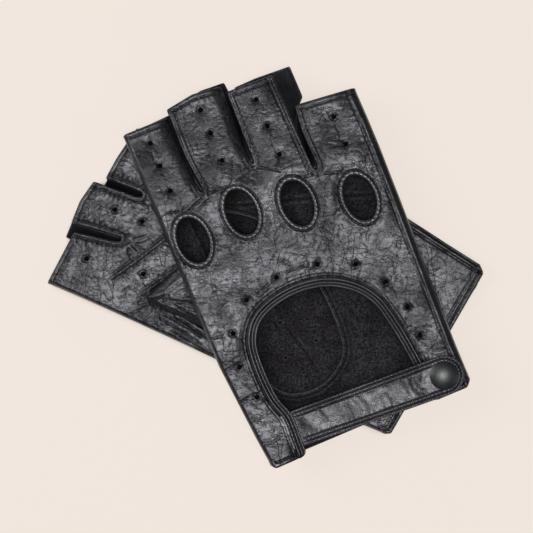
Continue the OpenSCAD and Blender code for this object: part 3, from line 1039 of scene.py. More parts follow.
class Glove:
    """One glove: its sheets, the height fields of its leather, and its pieces."""

    def __init__(self, g):
        self.g = g
        self.side = SIDES[g]
        self.noise = [Noise(100 * g + k) for k in range(6)]
        self.body = self.side + "_glove"
        self.strap_body = self.side + "_strap"
        self.make_back()
        self.make_palm()
        self.make_thumb()
        self.make_fourchettes()
        self.make_bindings()
        self.make_strap()
        self.make_thread()
        self.dress_snap()

    def keep(self, piece, slot, *nodes):
        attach(piece, self.body)
        if nodes:
            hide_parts(*[self.side + "_" + n for n in nodes])
        return piece

    def waves(self, p, broad=0.75, middle=0.13):
        n = self.noise
        fingers = 1 + 0.3 * smooth((p[:, 1] - 108) / 12)
        return (broad * n[0](p, 14) + middle * n[1](p, 7.5)) * fingers

    def fine_folds(self, p, amount=0.03):
        """Small wrinkles that run across the glove, ridged as creased leather is."""
        n = self.noise
        q = p + 2.4 * np.stack([n[2](p, 9), n[3](p, 9)], 1)
        ridged = 0.6 - np.abs(n[4](q, 3.0, 2.4, 0.3))
        other = 0.6 - np.abs(n[5](q, 2.6, 2.2, -0.8))
        where = 0.5 + 0.5 * n[1](p, 16)
        return amount * (ridged * where + 0.8 * other * (1 - where))

    # ---- the back of the hand
    def make_back(self):
        g = self.g
        cut = opening_path(g, OPENING_BAND - 0.25)
        holes = [ellipse(c, KNUCKLE_RX + 1.0, KNUCKLE_RY + 1.0) for c in KNUCKLES]
        holes += air_holes(BACK_AIR_HOLES)
        sheet = Sheet(outline_of(BACK_TIPS, BACK_HEM[g], cut), holes, pull=0.5)
        self.back_sheet = sheet
        self.back_index, self.back_little = sheet.lines("index"), sheet.lines("little")
        self.back_slots, self.back_tips = sheet.lines(*SLOTS), sheet.lines("tip")
        self.back_wrist, self.back_opening = sheet.lines("wrist"), sheet.lines("opening")
        self.back_rings = [Line(h, True) for h in holes[:4]]
        self.back_creases = self.crease_back()

        piece = shell(self.side + "_back_leather", g, sheet, self.back_mid,
                      rounded_half(LEATHER, self.back_index + self.back_little), 1,
                      [BLACK, SUEDE],
                      self.back_outer, self.back_inner)
        self.keep(piece, "black_leather", "back_panel")

    def crease_back(self):
        c = Creases(11 + self.g)
        r = c.random
        for h in BACK_AIR_HOLES:
            start = r.uniform(0, 360)
            c.fan(h, [start, start + 95, start + 150, start + 205, start + 290], 1.0, 6.0, 0.2)
        for depth, ends, points in BACK_FOLDS:
            c.path(points, depth, ends)
        for centre in KNUCKLES:
            for a in np.arange(0, 360, 17):
                a = math.radians(a + r.uniform(-6, 6))
                start = (centre[0] + 8.9 * math.cos(a), centre[1] + 12.7 * math.sin(a))
                out = math.atan2(12.7 * math.sin(a), 8.9 * math.cos(a))
                c.add(start, out, r.uniform(1.6, 6), r.uniform(0.06, 0.2))
        path = opening_path(self.g, OPENING_BAND + 0.4)
        for i in range(4, len(path) - 4, 9):
            t = path[i + 2] - path[i - 2]
            out = math.atan2(t[0], -t[1]) + r.normal(0, 0.5)
            c.add(path[i], out, r.uniform(1.5, 6), r.uniform(0.08, 0.24))
        c.scatter(420, 0.25, 0.04, 0.13)
        return c

    def beside_slots(self, p):
        """Distance and length along the nearest slot, and a weight for the soft edge
        that rolls down under its neighbour (the index and middle fingers' far side)."""
        d, along = nearest(self.back_slots, p)
        rolled = np.zeros(len(p))
        for ys, xs in (([122.6, 140, 160], [19.1, 17.7, 18.1]),
                       ([125.6, 140, 161], [44.4, 44.65, 45.2])):
            x = np.interp(p[:, 1], ys, xs)
            near = smooth((x - p[:, 0]) / 0.5) * smooth((14 - (x - p[:, 0])) / 4)
            rolled = np.maximum(rolled, near * smooth((p[:, 1] - ys[0]) / 7))
        return d, along, rolled

    def back_mid(self, p):
        di = nearest(self.back_index, p)[0]
        dl = nearest(self.back_little, p)[0]
        dt = nearest(self.back_tips, p)[0]
        ds, _, rolled = self.beside_slots(p)
        rings = np.min([line.near(p)[0] for line in self.back_rings], 0)
        calm = smooth(rings / 5) * smooth(nearest(self.back_opening, p)[0] / 6)
        z = BACK_Z - MIDDLE_Z + self.waves(p) * calm
        fingers = smooth((p[:, 1] - 112) / 14)
        z += fingers * (0.35 * smooth(ds / 6) - 0.4 * np.exp(-ds / 3.2))
        z -= rolled * 1.9 * (1 - quarter_round(ds, 5.2))
        z -= 0.6 * np.exp(-dt / 7) * smooth((p[:, 1] - 120) / 10)
        # drawn in towards the opening's binding, more so on the thumb's side
        do = nearest(self.back_opening, p)[0]
        z -= (0.4 + 1.0 * smooth((32 - p[:, 0]) / 14)) * np.exp(-do / 4.4)
        for c in BACK_AIR_HOLES:
            r2 = np.sum((p - np.array(c)) ** 2, 1)
            z -= 0.32 * np.exp(-r2 / 9)
        z = MIDDLE_Z + z * quarter_round(di, 1.5) * quarter_round(dl, 1.7)
        return z - tab_drop(self.g, p)

    def back_outer(self, p):
        ds, along, rolled = self.beside_slots(p)
        dt, tip_arc = nearest(self.back_tips, p)
        dl, little_arc = nearest(self.back_little, p)
        dw, _ = nearest(self.back_wrist, p)
        do, open_arc = nearest(self.back_opening, p)
        n = self.noise
        e = self.fine_folds(p)
        # two ridges of turned leather beside each slot, then the stitched groove
        tight = pinch(along, 1.8, n[3], p)
        seam = 0.32 * (1 - smooth((ds - 2.0) / 0.9)) + groove(ds, 1.38, 0.38, 0.34)
        seam += bump_at(ds, 1.95, 0.45, 0.1 - 0.26 * tight) + groove(ds, 2.6, 0.4, 0.4)
        seam += bump_at(ds, 3.4, 0.8, 0.1 + 0.07 * ripple(along, 2.1, n[2], p))
        e += seam * (1 - rolled) - 0.1 * rolled * bump_at(ds, 0.6, 0.6, 1)
        # hems at the fingertips
        open_hem = smooth((ds - 1.8) / 1.2)
        e += bump_at(dt, 1.15, 0.7, 0.14) + groove(dt, 2.35, 0.45, 0.42) * open_hem
        e += bump_at(dt, 3.4, 0.9, 0.1) * (1 + 0.5 * ripple(tip_arc, 2.3, n[3], p))
        # the side seam
        e += bump_at(dl, 2.4, 0.6, 0.3) + groove(dl, 3.75, 0.5, 0.45)
        e += groove(dl, 1.3, 0.45, 0.3)
        e += bump_at(dl, 5.2, 1.0, 0.07) * ripple(little_arc, 2.6, n[2], p)
        # the wrist hem
        e += bump_at(dw, 1.1, 0.7, 0.16) + groove(dw, 2.3, 0.45, 0.42)
        # beside the opening's binding
        parallel = 0.5 + 0.5 * n[1](p, 9)
        e += groove(do, 0.75, 0.5, 0.5) + groove(do, 2.0, 0.45, 0.3)
        e += parallel * (groove(do, 3.3, 0.4, 0.28) + bump_at(do, 2.6, 0.5, 0.12))
        e += 0.08 * np.exp(-do / 3) * ripple(open_arc, 3.1, n[3], p)
        for line in self.back_rings:
            d, arc = line.near(p)
            e += groove(d, 1.3, 0.4, 0.4) + bump_at(d, 2.0, 0.4, 0.06)
            e += 0.07 * np.exp(-np.maximum(0, d - 1) / 2.5) * ripple(arc, 2.9, n[2], p)
        for c in BACK_AIR_HOLES:
            d = away(p, c)
            e += bump_at(d, 1.1, 0.7, -0.22)
        e += 1.5 * self.back_creases.height(p)
        return np.maximum(e, DEEPEST)

    def back_inner(self, p):
        ds, _ = nearest(self.back_slots, p)
        return 0.08 * self.noise[3](p, 3) + bump_at(ds, 1.6, 0.7, 0.2)

    def back_face(self, p):
        return self.back_mid(p) + LEATHER / 2 + self.back_outer(p)

    # ---- the palm
    def make_palm(self):
        g = self.g
        self.thumb_edge = spline(THUMB_HOLE, True, 0.5)
        sheet = Sheet(outline_of(PALM_TIPS, PALM_HEM[g]),
                      [self.thumb_edge, *air_holes(PALM_AIR_HOLES)], pull=0.5)
        self.palm_sheet = sheet
        self.palm_index, self.palm_little = sheet.lines("index"), sheet.lines("little")
        self.palm_slots, self.palm_tips = sheet.lines(*SLOTS), sheet.lines("tip")
        self.palm_wrist = sheet.lines("wrist")
        self.thumb_seam = Line(self.thumb_edge, True)
        self.tucks = [Line(spline(t)) for t in PIN_TUCKS]
        self.palm_creases = self.crease_palm()
        self.thumb_ridge = Line(spline([(10, 115), (8.1, 105), (5.8, 94), (3.6, 84)]))

        piece = shell(self.side + "_palm_leather", g, sheet, self.palm_mid,
                      rounded_half(LEATHER, self.palm_index + self.palm_little), -1,
                      [BLACK, SUEDE],
                      self.palm_outer, self.palm_inner)
        self.keep(piece, "black_leather", "palm_panel")

    def crease_palm(self):
        c = Creases(31 + self.g)
        r = c.random
        for h in PALM_AIR_HOLES:
            start = r.uniform(0, 360)
            c.fan(h, [start, start + 80, start + 170, start + 250], 1.0, 6, 0.22)
        apex = (9.9, 114.8)
        c.fan(apex, [125, 145, 165, 178, 192, 207, 222, 238, 250], 1.5, 11, 0.42, 0.15)
        c.fan(apex, [150, 185, 215, 245], 7.0, 9, 0.3, 0.2)
        for depth, points in PALM_FOLDS:
            c.path(points, depth)
        for slot_end in ((27.2, 138.6), (49.2, 140.2), (73.2, 123.2)):
            c.fan(slot_end, [215, 240, 258, 275, 292, 310, 328], 2.6, 8, 0.36, 0.15)
        for line in self.tucks:
            for i in range(10, len(line.p) - 10, 11):
                t = line.p[i + 3] - line.p[i - 3]
                a = math.atan2(t[1], t[0]) + r.choice([-1, 1]) * r.uniform(1.0, 1.6)
                c.add(line.p[i] + 1.3 * np.array([math.cos(a), math.sin(a)]), a,
                      r.uniform(2, 6), r.uniform(0.08, 0.2))
        for run in self.palm_slots:
            for i in range(8, len(run.p) - 8, 12):
                t = run.p[i + 3] - run.p[i - 3]
                a = math.atan2(t[0], -t[1]) + r.normal(0, 0.2)
                p0 = run.p[i] + 2.4 * np.array([math.cos(a), math.sin(a)])
                c.add(p0, a, r.uniform(2.5, 8), r.uniform(0.12, 0.3), 0.15)
        c.scatter(420, -0.4, 0.05, 0.16)
        return c

    def palm_mid(self, p):
        di = nearest(self.palm_index, p)[0]
        dl = nearest(self.palm_little, p)[0]
        dt = nearest(self.palm_tips, p)[0]
        ds = nearest(self.palm_slots, p)[0]
        dh = self.thumb_seam.near(p)[0]
        z = MIDDLE_Z - PALM_Z + self.waves(p, 0.2, 0.1) * smooth(dh / 4)
        fingers = smooth((p[:, 1] - 118) / 14)
        z += fingers * (0.2 * smooth(ds / 5) - 0.8 * np.exp(-ds / 2.8))
        z -= 0.4 * np.exp(-dt / 6) * smooth((p[:, 1] - 120) / 10)
        z += 0.35 * np.exp(-dh / 1.6)
        return MIDDLE_Z - z * quarter_round(di, 1.5) * quarter_round(dl, 1.7)

    def palm_outer(self, p):
        ds, along = nearest(self.palm_slots, p)
        dt, tip_arc = nearest(self.palm_tips, p)
        dl = nearest(self.palm_little, p)[0]
        dw = nearest(self.palm_wrist, p)[0]
        dh, hole_arc = self.thumb_seam.near(p)
        n = self.noise
        e = self.fine_folds(p, 0.07)
        e += bump_at(ds, 0.9, 0.8, 0.3) + groove(ds, 2.05, 0.5, 0.5)
        e += bump_at(ds, 3.6, 1.4, 1.0) * (0.14 + 0.3 * ripple(along, 2.2, n[2], p))
        e += bump_at(dt, 1.2, 0.8, 0.28) + bump_at(dt, 2.5, 0.42, -0.32)
        e += bump_at(dt, 3.8, 1.2, 0.14) * (1 + ripple(tip_arc, 2.4, n[3], p))
        e += bump_at(dl, 1.6, 0.9, 0.22) + bump_at(dl, 3.0, 0.5, -0.4)
        e += bump_at(dw, 0.9, 0.6, 0.12) + groove(dw, 1.9, 0.45, 0.42)
        e += bump_at(dw, 2.8, 0.5, 0.1) + groove(dw, 3.7, 0.45, 0.38)
        for line in self.tucks:
            d, arc = line.near(p)
            ends = smooth((arc - 0.3) / 5) * smooth((line.length - 0.3 - arc) / 5)
            tuck = (bump_at(d, 0, 0.8, 0.5) + groove(d, 1.25, 0.6, 0.45)
                    + bump_at(d, 3.0, 1.1, 0.1))
            e += tuck * ends
            e += ends * bump_at(d, 2.6, 1.3, 0.12) * ripple(arc, 1.9, n[3], p)
        e += bump_at(dh, 1.1, 0.8, 0.18) + groove(dh, 2.2, 0.5, 0.4)
        e += 0.16 * np.exp(-np.maximum(0, dh - 1) / 3) * ripple(hole_arc, 3.0, n[2], p)
        d, arc = self.thumb_ridge.near(p)
        e += bump_at(d, 0, 1.5, 0.75) * smooth(arc / 4) * smooth((32 - arc) / 8)
        for c in PALM_AIR_HOLES:
            d = away(p, c)
            e += bump_at(d, 1.0, 0.9, -0.32) + bump_at(d, 3.0, 1.1, 0.12)
        e += 1.8 * self.palm_creases.height(p)
        return np.maximum(e, DEEPEST)

    def palm_inner(self, p):
        dh, _ = self.thumb_seam.near(p)
        e = 0.07 * self.noise[3](p, 3) + 0.25 * self.noise[2](p, 8)
        plain = smooth((p[:, 0] - 12) / 4 + smooth((88 - p[:, 1]) / 10))
        e += plain * (bump_at(dh, 0.8, 0.7, 0.75) + groove(dh, 1.8, 0.5, 0.4)
                      + bump_at(dh, 2.7, 0.55, 0.6) + groove(dh, 3.7, 0.5, 0.35))
        for line in self.tucks:
            d = line.near(p)[0]
            e += bump_at(d, 0, 0.6, -0.9) + bump_at(d, 1.5, 0.8, 0.5)
        return e

    def palm_face(self, p):
        return self.palm_mid(p) - LEATHER / 2 - self.palm_outer(p)

    def palm_flesh(self, p):
        return self.palm_mid(p) + LEATHER / 2 + self.palm_inner(p)

    # ---- the thumb, folded flat over the palm
    def make_thumb(self):
        g = self.g
        plan = [("side", THUMB_PLAN[0:4]), ("mouth", THUMB_PLAN[3:5]),
                ("side", THUMB_PLAN[4:] + THUMB_PLAN[:1])]
        front = Sheet(plan, air_holes(THUMB_AIR_HOLES), 0.7, 1.6)
        back = Sheet(plan, [self.thumb_edge], 0.9, 1.6)
        self.thumb_sides, self.thumb_mouth = front.lines("side"), front.lines("mouth")
        self.thumb_creases = self.crease_thumb()

        a = shell(self.side + "_thumb_leather", g, front, self.thumb_mid,
                  rounded_half(0.9, self.thumb_sides), -1, [BLACK, SUEDE], self.thumb_outer,
                  self.thumb_inner)
        self.close_holes(a)
        self.keep(a, "black_leather", "thumb_stall")
        b = shell(self.side + "_thumb_facing", g, back, self.facing_mid,
                  rounded_half(0.8, self.thumb_sides), 1, [BLACK, SUEDE])
        self.keep(b, "black_leather")

    def close_holes(self, piece):
        """A thin dark skin half way down the air holes of the thumb,
        standing for the shade in them."""
        old = piece.data
        v = np.empty(len(old.vertices) * 3)
        old.vertices.foreach_get("co", v)
        f = np.empty(len(old.polygons) * 3, np.int64)
        old.polygons.foreach_get("vertices", f)
        m = np.empty(len(old.polygons), np.int32)
        old.polygons.foreach_get("material_index", m)
        v, f, m = v.reshape(-1, 3), f.reshape(-1, 3), list(m)
        k = 20
        t = np.arange(k) * 2 * math.pi / k
        for c in THUMB_AIR_HOLES:
            c = np.array([c])
            z = self.thumb_mid(c)[0]
            ring = np.stack([1.3 * np.cos(t), 1.3 * np.sin(t)], 1) + c
            pts = np.vstack([np.column_stack([fit(self.g, c), [z - 0.1]]),
                             np.column_stack([fit(self.g, c), [z + 0.1]]),
                             np.column_stack([fit(self.g, ring), np.full(k, z)])])
            i = np.arange(k) + 2
            j = np.roll(i, -1)
            disc = np.vstack([np.stack([0 * i, j, i], 1), np.stack([0 * i + 1, i, j], 1)])
            f = np.vstack([f, disc + len(v)])
            v = np.vstack([v, place(self.g, pts)])
            m += [2] * len(disc)
        new = make_mesh("closed", v, f, [BLACK, SUEDE, SHADE], np.array(m))
        piece.data = new.data
        bpy.data.objects.remove(new)
        bpy.data.meshes.remove(old)
        piece.data.name = piece.name

    def crease_thumb(self):
        c = Creases(51 + self.g)
        r = c.random
        apex = (10.2, 114.6)
        for end in ((13.6, 102.8), (16.4, 104.8), (18.7, 108.3), (12.2, 101)):
            c.path([apex, end, tuple(2 * np.array(end) - np.array(apex))], 0.6, 1.5)
        for _ in range(110):
            start = (r.uniform(8, 80), r.uniform(24, 112))
            c.add(start, r.uniform(0, 6.28), r.uniform(3, 9), r.uniform(0.08, 0.2))
        return c

    def thumb_seam_z(self, p):
        """Where the folded thumb's two layers meet: near the palm beside the thumb
        hole, and half way down at the free end."""
        d = self.thumb_seam.near(p)[0] * ~inside(self.thumb_edge, p)
        return -0.85 - 1.0 * smooth((d - 2) / 9)

    def thumb_mid(self, p):
        d, _ = nearest(self.thumb_sides, p)
        base = self.thumb_seam_z(p)
        z = base + (-THUMB_H + 0.55 - base) * quarter_round(d, 9.0)
        return z + 0.12 * self.noise[1](p, 9) * smooth(d / 5)

    def thumb_outer(self, p):
        dm = nearest(self.thumb_mouth, p)[0]
        e = self.fine_folds(p, 0.04) + self.thumb_creases.height(p, 0.7)
        e += bump_at(dm, 1.1, 0.7, 0.2) + bump_at(dm, 2.4, 0.4, -0.3)
        # the pleats that fan out from the top of the thumb hole
        from_apex = p - np.array([10.2, 115.0])
        r = np.linalg.norm(from_apex, axis=1)
        angle = np.arctan2(from_apex[:, 1], from_apex[:, 0])
        fan = np.exp(-((r - 8) / 6.5) ** 2) * smooth((angle + 1.75) / 0.3)
        e += 0.4 * fan * np.sin(angle * 17 + 0.5) * smooth((0.0 - angle) / 0.3)
        for c in THUMB_AIR_HOLES:
            e += bump_at(away(p, c), 1.0, 0.9, -0.25)
        return np.minimum(e, 0.32)

    def thumb_inner(self, p):
        crease = Line(spline([(28.8, 68), (30.5, 52), (33, 42), (34.5, 31)]))
        d, _ = crease.near(p)
        e = 0.07 * self.noise[3](p, 3) + 0.3 * self.noise[2](p, 8)
        return e + bump_at(d, 0, 0.7, -0.8) + bump_at(d, 1.8, 1.2, 0.25)

    def facing_mid(self, p):
        d, _ = nearest(self.thumb_sides, p)
        base = self.thumb_seam_z(p)
        return base + (-0.45 - base) * quarter_round(d, 2.5)

    # ---- the strips between the fingers
    def make_fourchettes(self):
        names = ("index_middle", "middle_ring", "ring_little")
        for slot, name in zip(SLOTS, names):
            top, low = (even(sheet.runs(slot)[0], False, 0.5)
                        for sheet in (self.back_sheet, self.palm_sheet))
            n = max(len(top), len(low))
            at = np.linspace(0, 1, n)
            top, low = (np.stack([np.interp(at, np.linspace(0, 1, len(q)), q[:, i])
                                  for i in (0, 1)], 1) for q in (top, low))
            top, low = offset(top, 0.45), offset(low, 0.45)
            z_top, z_low = self.back_mid(top) - 0.15, self.palm_mid(low) + 0.15
            rows = 9
            v = []
            for t in np.linspace(0, 1, rows):
                bulge = math.sin(math.pi * t)
                q = offset(top * (1 - t) + low * t, 0.75 * bulge)
                z = z_top * (1 - t) + z_low * t
                z = z + 0.1 * self.noise[2](q, 3) * bulge
                v.append(np.column_stack([fit(self.g, q), z]))
            v = np.vstack(v)
            i = np.arange(rows - 1)[:, None] * n + np.arange(n - 1)[None]
            tris = halves(np.stack([i, i + 1, i + 1 + n, i + n], -1))
            half = 0.3 * vertex_normals(v, tris)
            faces = two_faces(tris, border_of(tris, len(v)), len(v))
            piece = glove_mesh(self.side + "_side_strip_" + name, self.g,
                               np.vstack([v + half, v - half]), faces, [FOURCHETTE])
            self.keep(piece, "fourchette_leather", "fourchette_" + name)

    # ---- bindings
    def make_bindings(self):
        g = self.g
        n = self.noise
        # a rounded, puckered ring about each knuckle hole
        s0, z0 = RING_SECTION
        for finger, c in zip(FINGERS, KNUCKLES):
            path = ellipse(c, KNUCKLE_RX, KNUCKLE_RY, 0.28)[::-1]

            def section(arc, path=path):
                wave = np.sin(2 * math.pi * np.round(arc[-1] / 1.75) * arc
                              / (arc[-1] + arc[1]) + 0.9 * n[2](path, 9))
                tight = ((0.5 + 0.5 * wave) ** 4)[:, None]
                z = BACK_Z + z0[None] * (1 - 0.13 * tight * (z0 > 0))
                s = s0[None] - 0.12 * tight * (s0 > 1)
                return s + 0 * z, z

            piece = sweep(self.side + "_ring_binding_" + finger, g, path, section,
                          True, [BINDING])
            self.keep(piece, "binding_leather", "knuckle_binding_" + finger)
        # the wide binding about the back opening, with two stitched grooves
        path = opening_path(g)
        s1, z1 = BINDING_SECTION
        width = s1.max()

        def section(arc):
            # the corners at the two ends are rounded off to this radius
            r = 3.2
            end = np.minimum(arc, arc[-1] - arc)
            bite = np.where(end < r, r - np.sqrt(np.maximum(0, r * r - (r - end) ** 2)), 0)
            s = bite[:, None] + s1[None] * (width - bite[:, None]) / width
            tight = pinch(arc, 1.75, n[2], path)[:, None]
            z = z1[None] * (1 - 0.16 * tight * (z1 > 0)) + 0.05 * n[3](path, 6)[:, None]
            thin = 0.55 + 0.45 * smooth(end / 1.2)
            return s, BACK_Z + z * thin[:, None]

        piece = sweep(self.side + "_wide_binding", g, path, section, False, [BINDING])
        self.keep(piece, "binding_leather", "opening_binding")

    # ---- the strap
    def strap_low(self, p):
        """Height of the strap's lower face."""
        g = self.g
        x = p[:, 0]
        root = BACK_Z - LEATHER / 2 - 0.2 - 2 * STRAP_LAYER
        far = BODY_H - TAB_DROP[g] + STRAP_GAP
        t = np.clip((x - 17.5) / (68 - 17.5), 0, 1)
        rise = smooth((x - 16.8) / 7) * 0.75
        slope = (far - root - 0.75) * (0.35 * t + 0.65 * smooth(t))
        return root + rise + slope

    def crease_strap(self):
        c = Creases(71 + self.g)
        r = c.random
        for x in np.arange(24, 74, 3.1):
            y = STRAP_BEND[1] - 3.5 * (x - 20) / 66 + r.uniform(-2.5, 2.5)
            a = math.pi / 2 * r.choice([-1, 1]) + r.normal(0.12, 0.3)
            c.add((x, y), a, r.uniform(3, 6), r.uniform(0.02, 0.07))
        for _ in range(16):
            c.add((r.uniform(20, 76), r.uniform(5, 17)), r.uniform(0, 6.28),
                  r.uniform(2, 5), r.uniform(0.02, 0.07))
        for a in (150, 170, 190, 215):
            c.fan(SNAP_AT, [a], 8.6, 4, 0.12)
        return c

    def strap_calm(self, p):
        """1 on the free leather, and 0 near the strap's edge, its snap and its root."""
        d = self.strap_edge.near(p)[0]
        return (smooth((d - 2.8) / 1.5) * smooth((away(p, SNAP_AT) - 8) / 3)
                * smooth((p[:, 0] - 18) / 5))

    def strap_wave(self, p):
        n = self.noise
        q = p + np.stack([1.5 * n[2](p, 8), np.zeros(len(p))], 1)
        across = np.sin(2 * math.pi * (q[:, 0] + 0.25 * q[:, 1]) / 7.0 + 2.6 * n[4](p, 11))
        return self.strap_calm(p) * (0.17 * across * (0.5 + 0.5 * n[3](p, 9))
                                     + 0.3 * n[5](p, 7.0))

    def strap_mid(self, p):
        return self.strap_low(p) + 1.5 * STRAP_LAYER + 0.6 * self.strap_wave(p)

    def lining_mid(self, p):
        return self.strap_low(p) + 0.5 * STRAP_LAYER + 0.3 * self.strap_wave(p)

    def strap_outer(self, p):
        n = self.noise
        calm = self.strap_calm(p)
        d, arc = self.strap_edge.near(p)
        tight = pinch(arc, 1.8, n[2], p)
        e = bump_at(d, 0.65, 0.5, 0.12 - 0.26 * tight) + groove(d, 1.4, 0.42, 0.5)
        e += bump_at(d, 2.25, 0.5, 0.14 - 0.3 * tight) + groove(d, 3.05, 0.36, 0.42)
        e += bump_at(d, 3.9, 0.7, 0.04) * (1 + ripple(arc, 2.2, n[3], p))
        e += 0.8 * self.strap_creases.height(p) * calm + 0.4 * self.strap_wave(p)
        e += self.fine_folds(p, 0.06) * calm
        flat_under_cap = np.where(away(p, SNAP_AT) < 7.4, np.minimum(e, 0.0), e)
        return flat_under_cap * smooth((p[:, 0] - 16.5) / 3)

    def strap_face(self, p):
        return self.strap_mid(p) + STRAP_LAYER / 2 + self.strap_outer(p)

    def make_strap(self):
        turn = np.linspace(-math.pi / 2, math.pi / 2, 40)
        round_end = SNAP_AT + STRAP_END_R * np.stack([np.cos(turn), np.sin(turn)], 1)
        low, high = STRAP_BEND[1] - STRAP_HALF, STRAP_BEND[1] + STRAP_HALF
        cut = [("edge", [(STRAP_ROOT_X, high), (STRAP_ROOT_X, low), (STRAP_BEND[0], low)]),
               ("edge", [(STRAP_BEND[0], low), *map(tuple, round_end), (STRAP_BEND[0], high),
                         (STRAP_ROOT_X, high)])]
        sheet = Sheet(cut, (), 0.5, 0.6, rows=STRAP_SHEET_ROWS)
        self.strap_edge = Line(sheet.outer_loop, True)
        self.strap_creases = self.crease_strap()
        outer = shell(self.side + "_strap_leather", self.g, sheet, self.strap_mid,
                      rounded_half(STRAP_LAYER), 1, [STRAP], self.strap_outer)
        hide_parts(self.side + "_strap_outer", self.side + "_strap_root")
        # the lining has a hole for the snap's post, and clears the layer above it
        sheet = Sheet(cut, [ellipse(SNAP_AT, 5.6, 5.6)], 0.9, 0.6)
        lining = shell(self.side + "_strap_backing", self.g, sheet, self.lining_mid,
                       rounded_half(STRAP_LAYER - 0.04), 1, [FOURCHETTE])
        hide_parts(self.side + "_strap_lining")
        for piece in (outer, lining):
            self.bend_strap(piece)

    def bend_strap(self, piece):
        g = self.g
        ends = np.array([(17.2, STRAP_BEND[1]), (22.0, STRAP_BEND[1])])
        v = np.column_stack([fit(g, ends), [5.6, 5.6]])
        start, end = place(g, v)
        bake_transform(piece)

    # ---- stitches
    def make_thread(self):
        self.stitch_back()
        self.stitch_palm()
        self.stitch_inside()
        self.stitch_strap()

    def stitch_back(self):
        back, face, sheet = Thread(self.g, 1), self.back_face, self.back_sheet
        for run in sheet.runs(*SLOTS):
            p = offset(run, SLOT_ROW)
            p = p[(self.beside_slots(p)[2] < 0.3) & clear_of(self.back_slots, p, 2.35)]
            for part in split_runs(p, 2.0):
                back.row(part, face)
        for run in sheet.runs("tip"):
            p = offset(run, TIP_ROW)
            ok = clear_of(self.back_slots, p, 2.6) & clear_of(self.back_index, p, 1.5)
            back.row(p[ok], face)
        for run in sheet.runs("little"):
            p = offset(run, SIDE_ROW)
            back.row(p[(p[:, 1] > 4) & (p[:, 1] < 136)], face)
        for run in sheet.runs("wrist"):
            p = offset(run, WRIST_ROW)
            ok = clear_of(self.back_index, p, 1.5) & clear_of(self.back_opening, p, 0.5)
            back.row(p[ok], face)
        for c in KNUCKLES:
            ring = ellipse(c, KNUCKLE_RX + RING_ROW, KNUCKLE_RY + RING_ROW, 0.4)
            back.row(ring, face, pitch=1.75, length=1.1, width=0.19, closed=True)
        for at, up in zip(OPENING_ROWS, (0.2, 0.18)):
            back.row(offset(opening_path(self.g), at)[6:-6],
                     lambda q, up=up: BACK_Z + up - tab_drop(self.g, q),
                     pitch=1.75, length=1.3, width=0.2)
        self.keep(back.make(self.side + "_back_stitching"), "thread")

    def stitch_palm(self):
        palm, face, sheet = Thread(self.g, -1), self.palm_face, self.palm_sheet
        for run in sheet.runs(*SLOTS):
            palm.row(offset(run, PALM_SLOT_ROW), face)
        for run in sheet.runs("tip"):
            p = offset(run, PALM_TIP_ROW)
            ok = clear_of(self.palm_slots, p, 2.4) & clear_of(self.palm_index, p, 1.5)
            palm.row(p[ok], face)
        for run in sheet.runs("wrist"):
            for at in PALM_WRIST_ROWS:
                p = offset(run, at)
                palm.row(p[clear_of(self.palm_index, p, 1.5)], face)
        palm.row(offset(self.thumb_edge[::-1], -THUMB_ROW)[::-1], face)
        for line in self.tucks:
            palm.row(line.p[8:-8], face, pitch=1.9, length=1.3, width=0.16, lift=-0.02)
        self.keep(palm.make(self.side + "_palm_stitching"), "thread")

    def stitch_inside(self):
        """The rows that show through the back's opening, on the palm's flesh side."""
        rows = Thread(self.g, 1)
        ring = self.thumb_edge - inwards(self.thumb_edge) * 2.3
        ring = ring[(ring[:, 0] > 14) | (ring[:, 1] < 84)]
        for part in split_runs(ring, 3.0):
            rows.row(part, self.palm_flesh)
        for line in self.tucks:
            rows.row(line.p, self.palm_flesh, pitch=1.9, length=1.3, width=0.18)
        self.keep(rows.make(self.side + "_inside_stitching"), "thread")

    def stitch_strap(self):
        strap = Thread(self.g, 1)
        for at in STRAP_ROWS:
            p = offset(self.strap_edge.p, at, True)
            if at == max(STRAP_ROWS):
                p = p[away(p, SNAP_AT) > 8.2]
            p = np.roll(p, -np.argmax(p[:, 0] <= 19.0), 0)
            for part in split_runs(p[p[:, 0] > 19.0], 3.0):
                strap.row(part, self.strap_face, pitch=1.75, length=1.3, width=0.2)
        piece = strap.make(self.side + "_strap_stitching")
        self.bend_strap(piece)

    # ---- the snap: a domed enamelled cap, and metal parts that keep their CAD solids
    def dress_snap(self):
        verts, faces = domed_cap()
        low, high = (np.array(corner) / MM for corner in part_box(self.side + "_snap_cap"))
        verts[:, :2] += (low[:2] + high[:2]) / 2
        if self.g == RIGHT:
            verts[:, 2] += low[2]
        else:
            verts[:, 2] = high[2] - verts[:, 2]
            faces = faces[:, ::-1]
        cap = make_mesh(self.side + "_domed_cap", verts * MM, faces, [ENAMEL])
        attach(cap, self.strap_body)
        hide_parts(self.side + "_snap_cap")
        for part in ("snap_socket", "snap_stud", "snap_post"):
            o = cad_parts[self.side + "_" + part]
            o.data.materials.clear()
            o.data.materials.append(NICKEL)


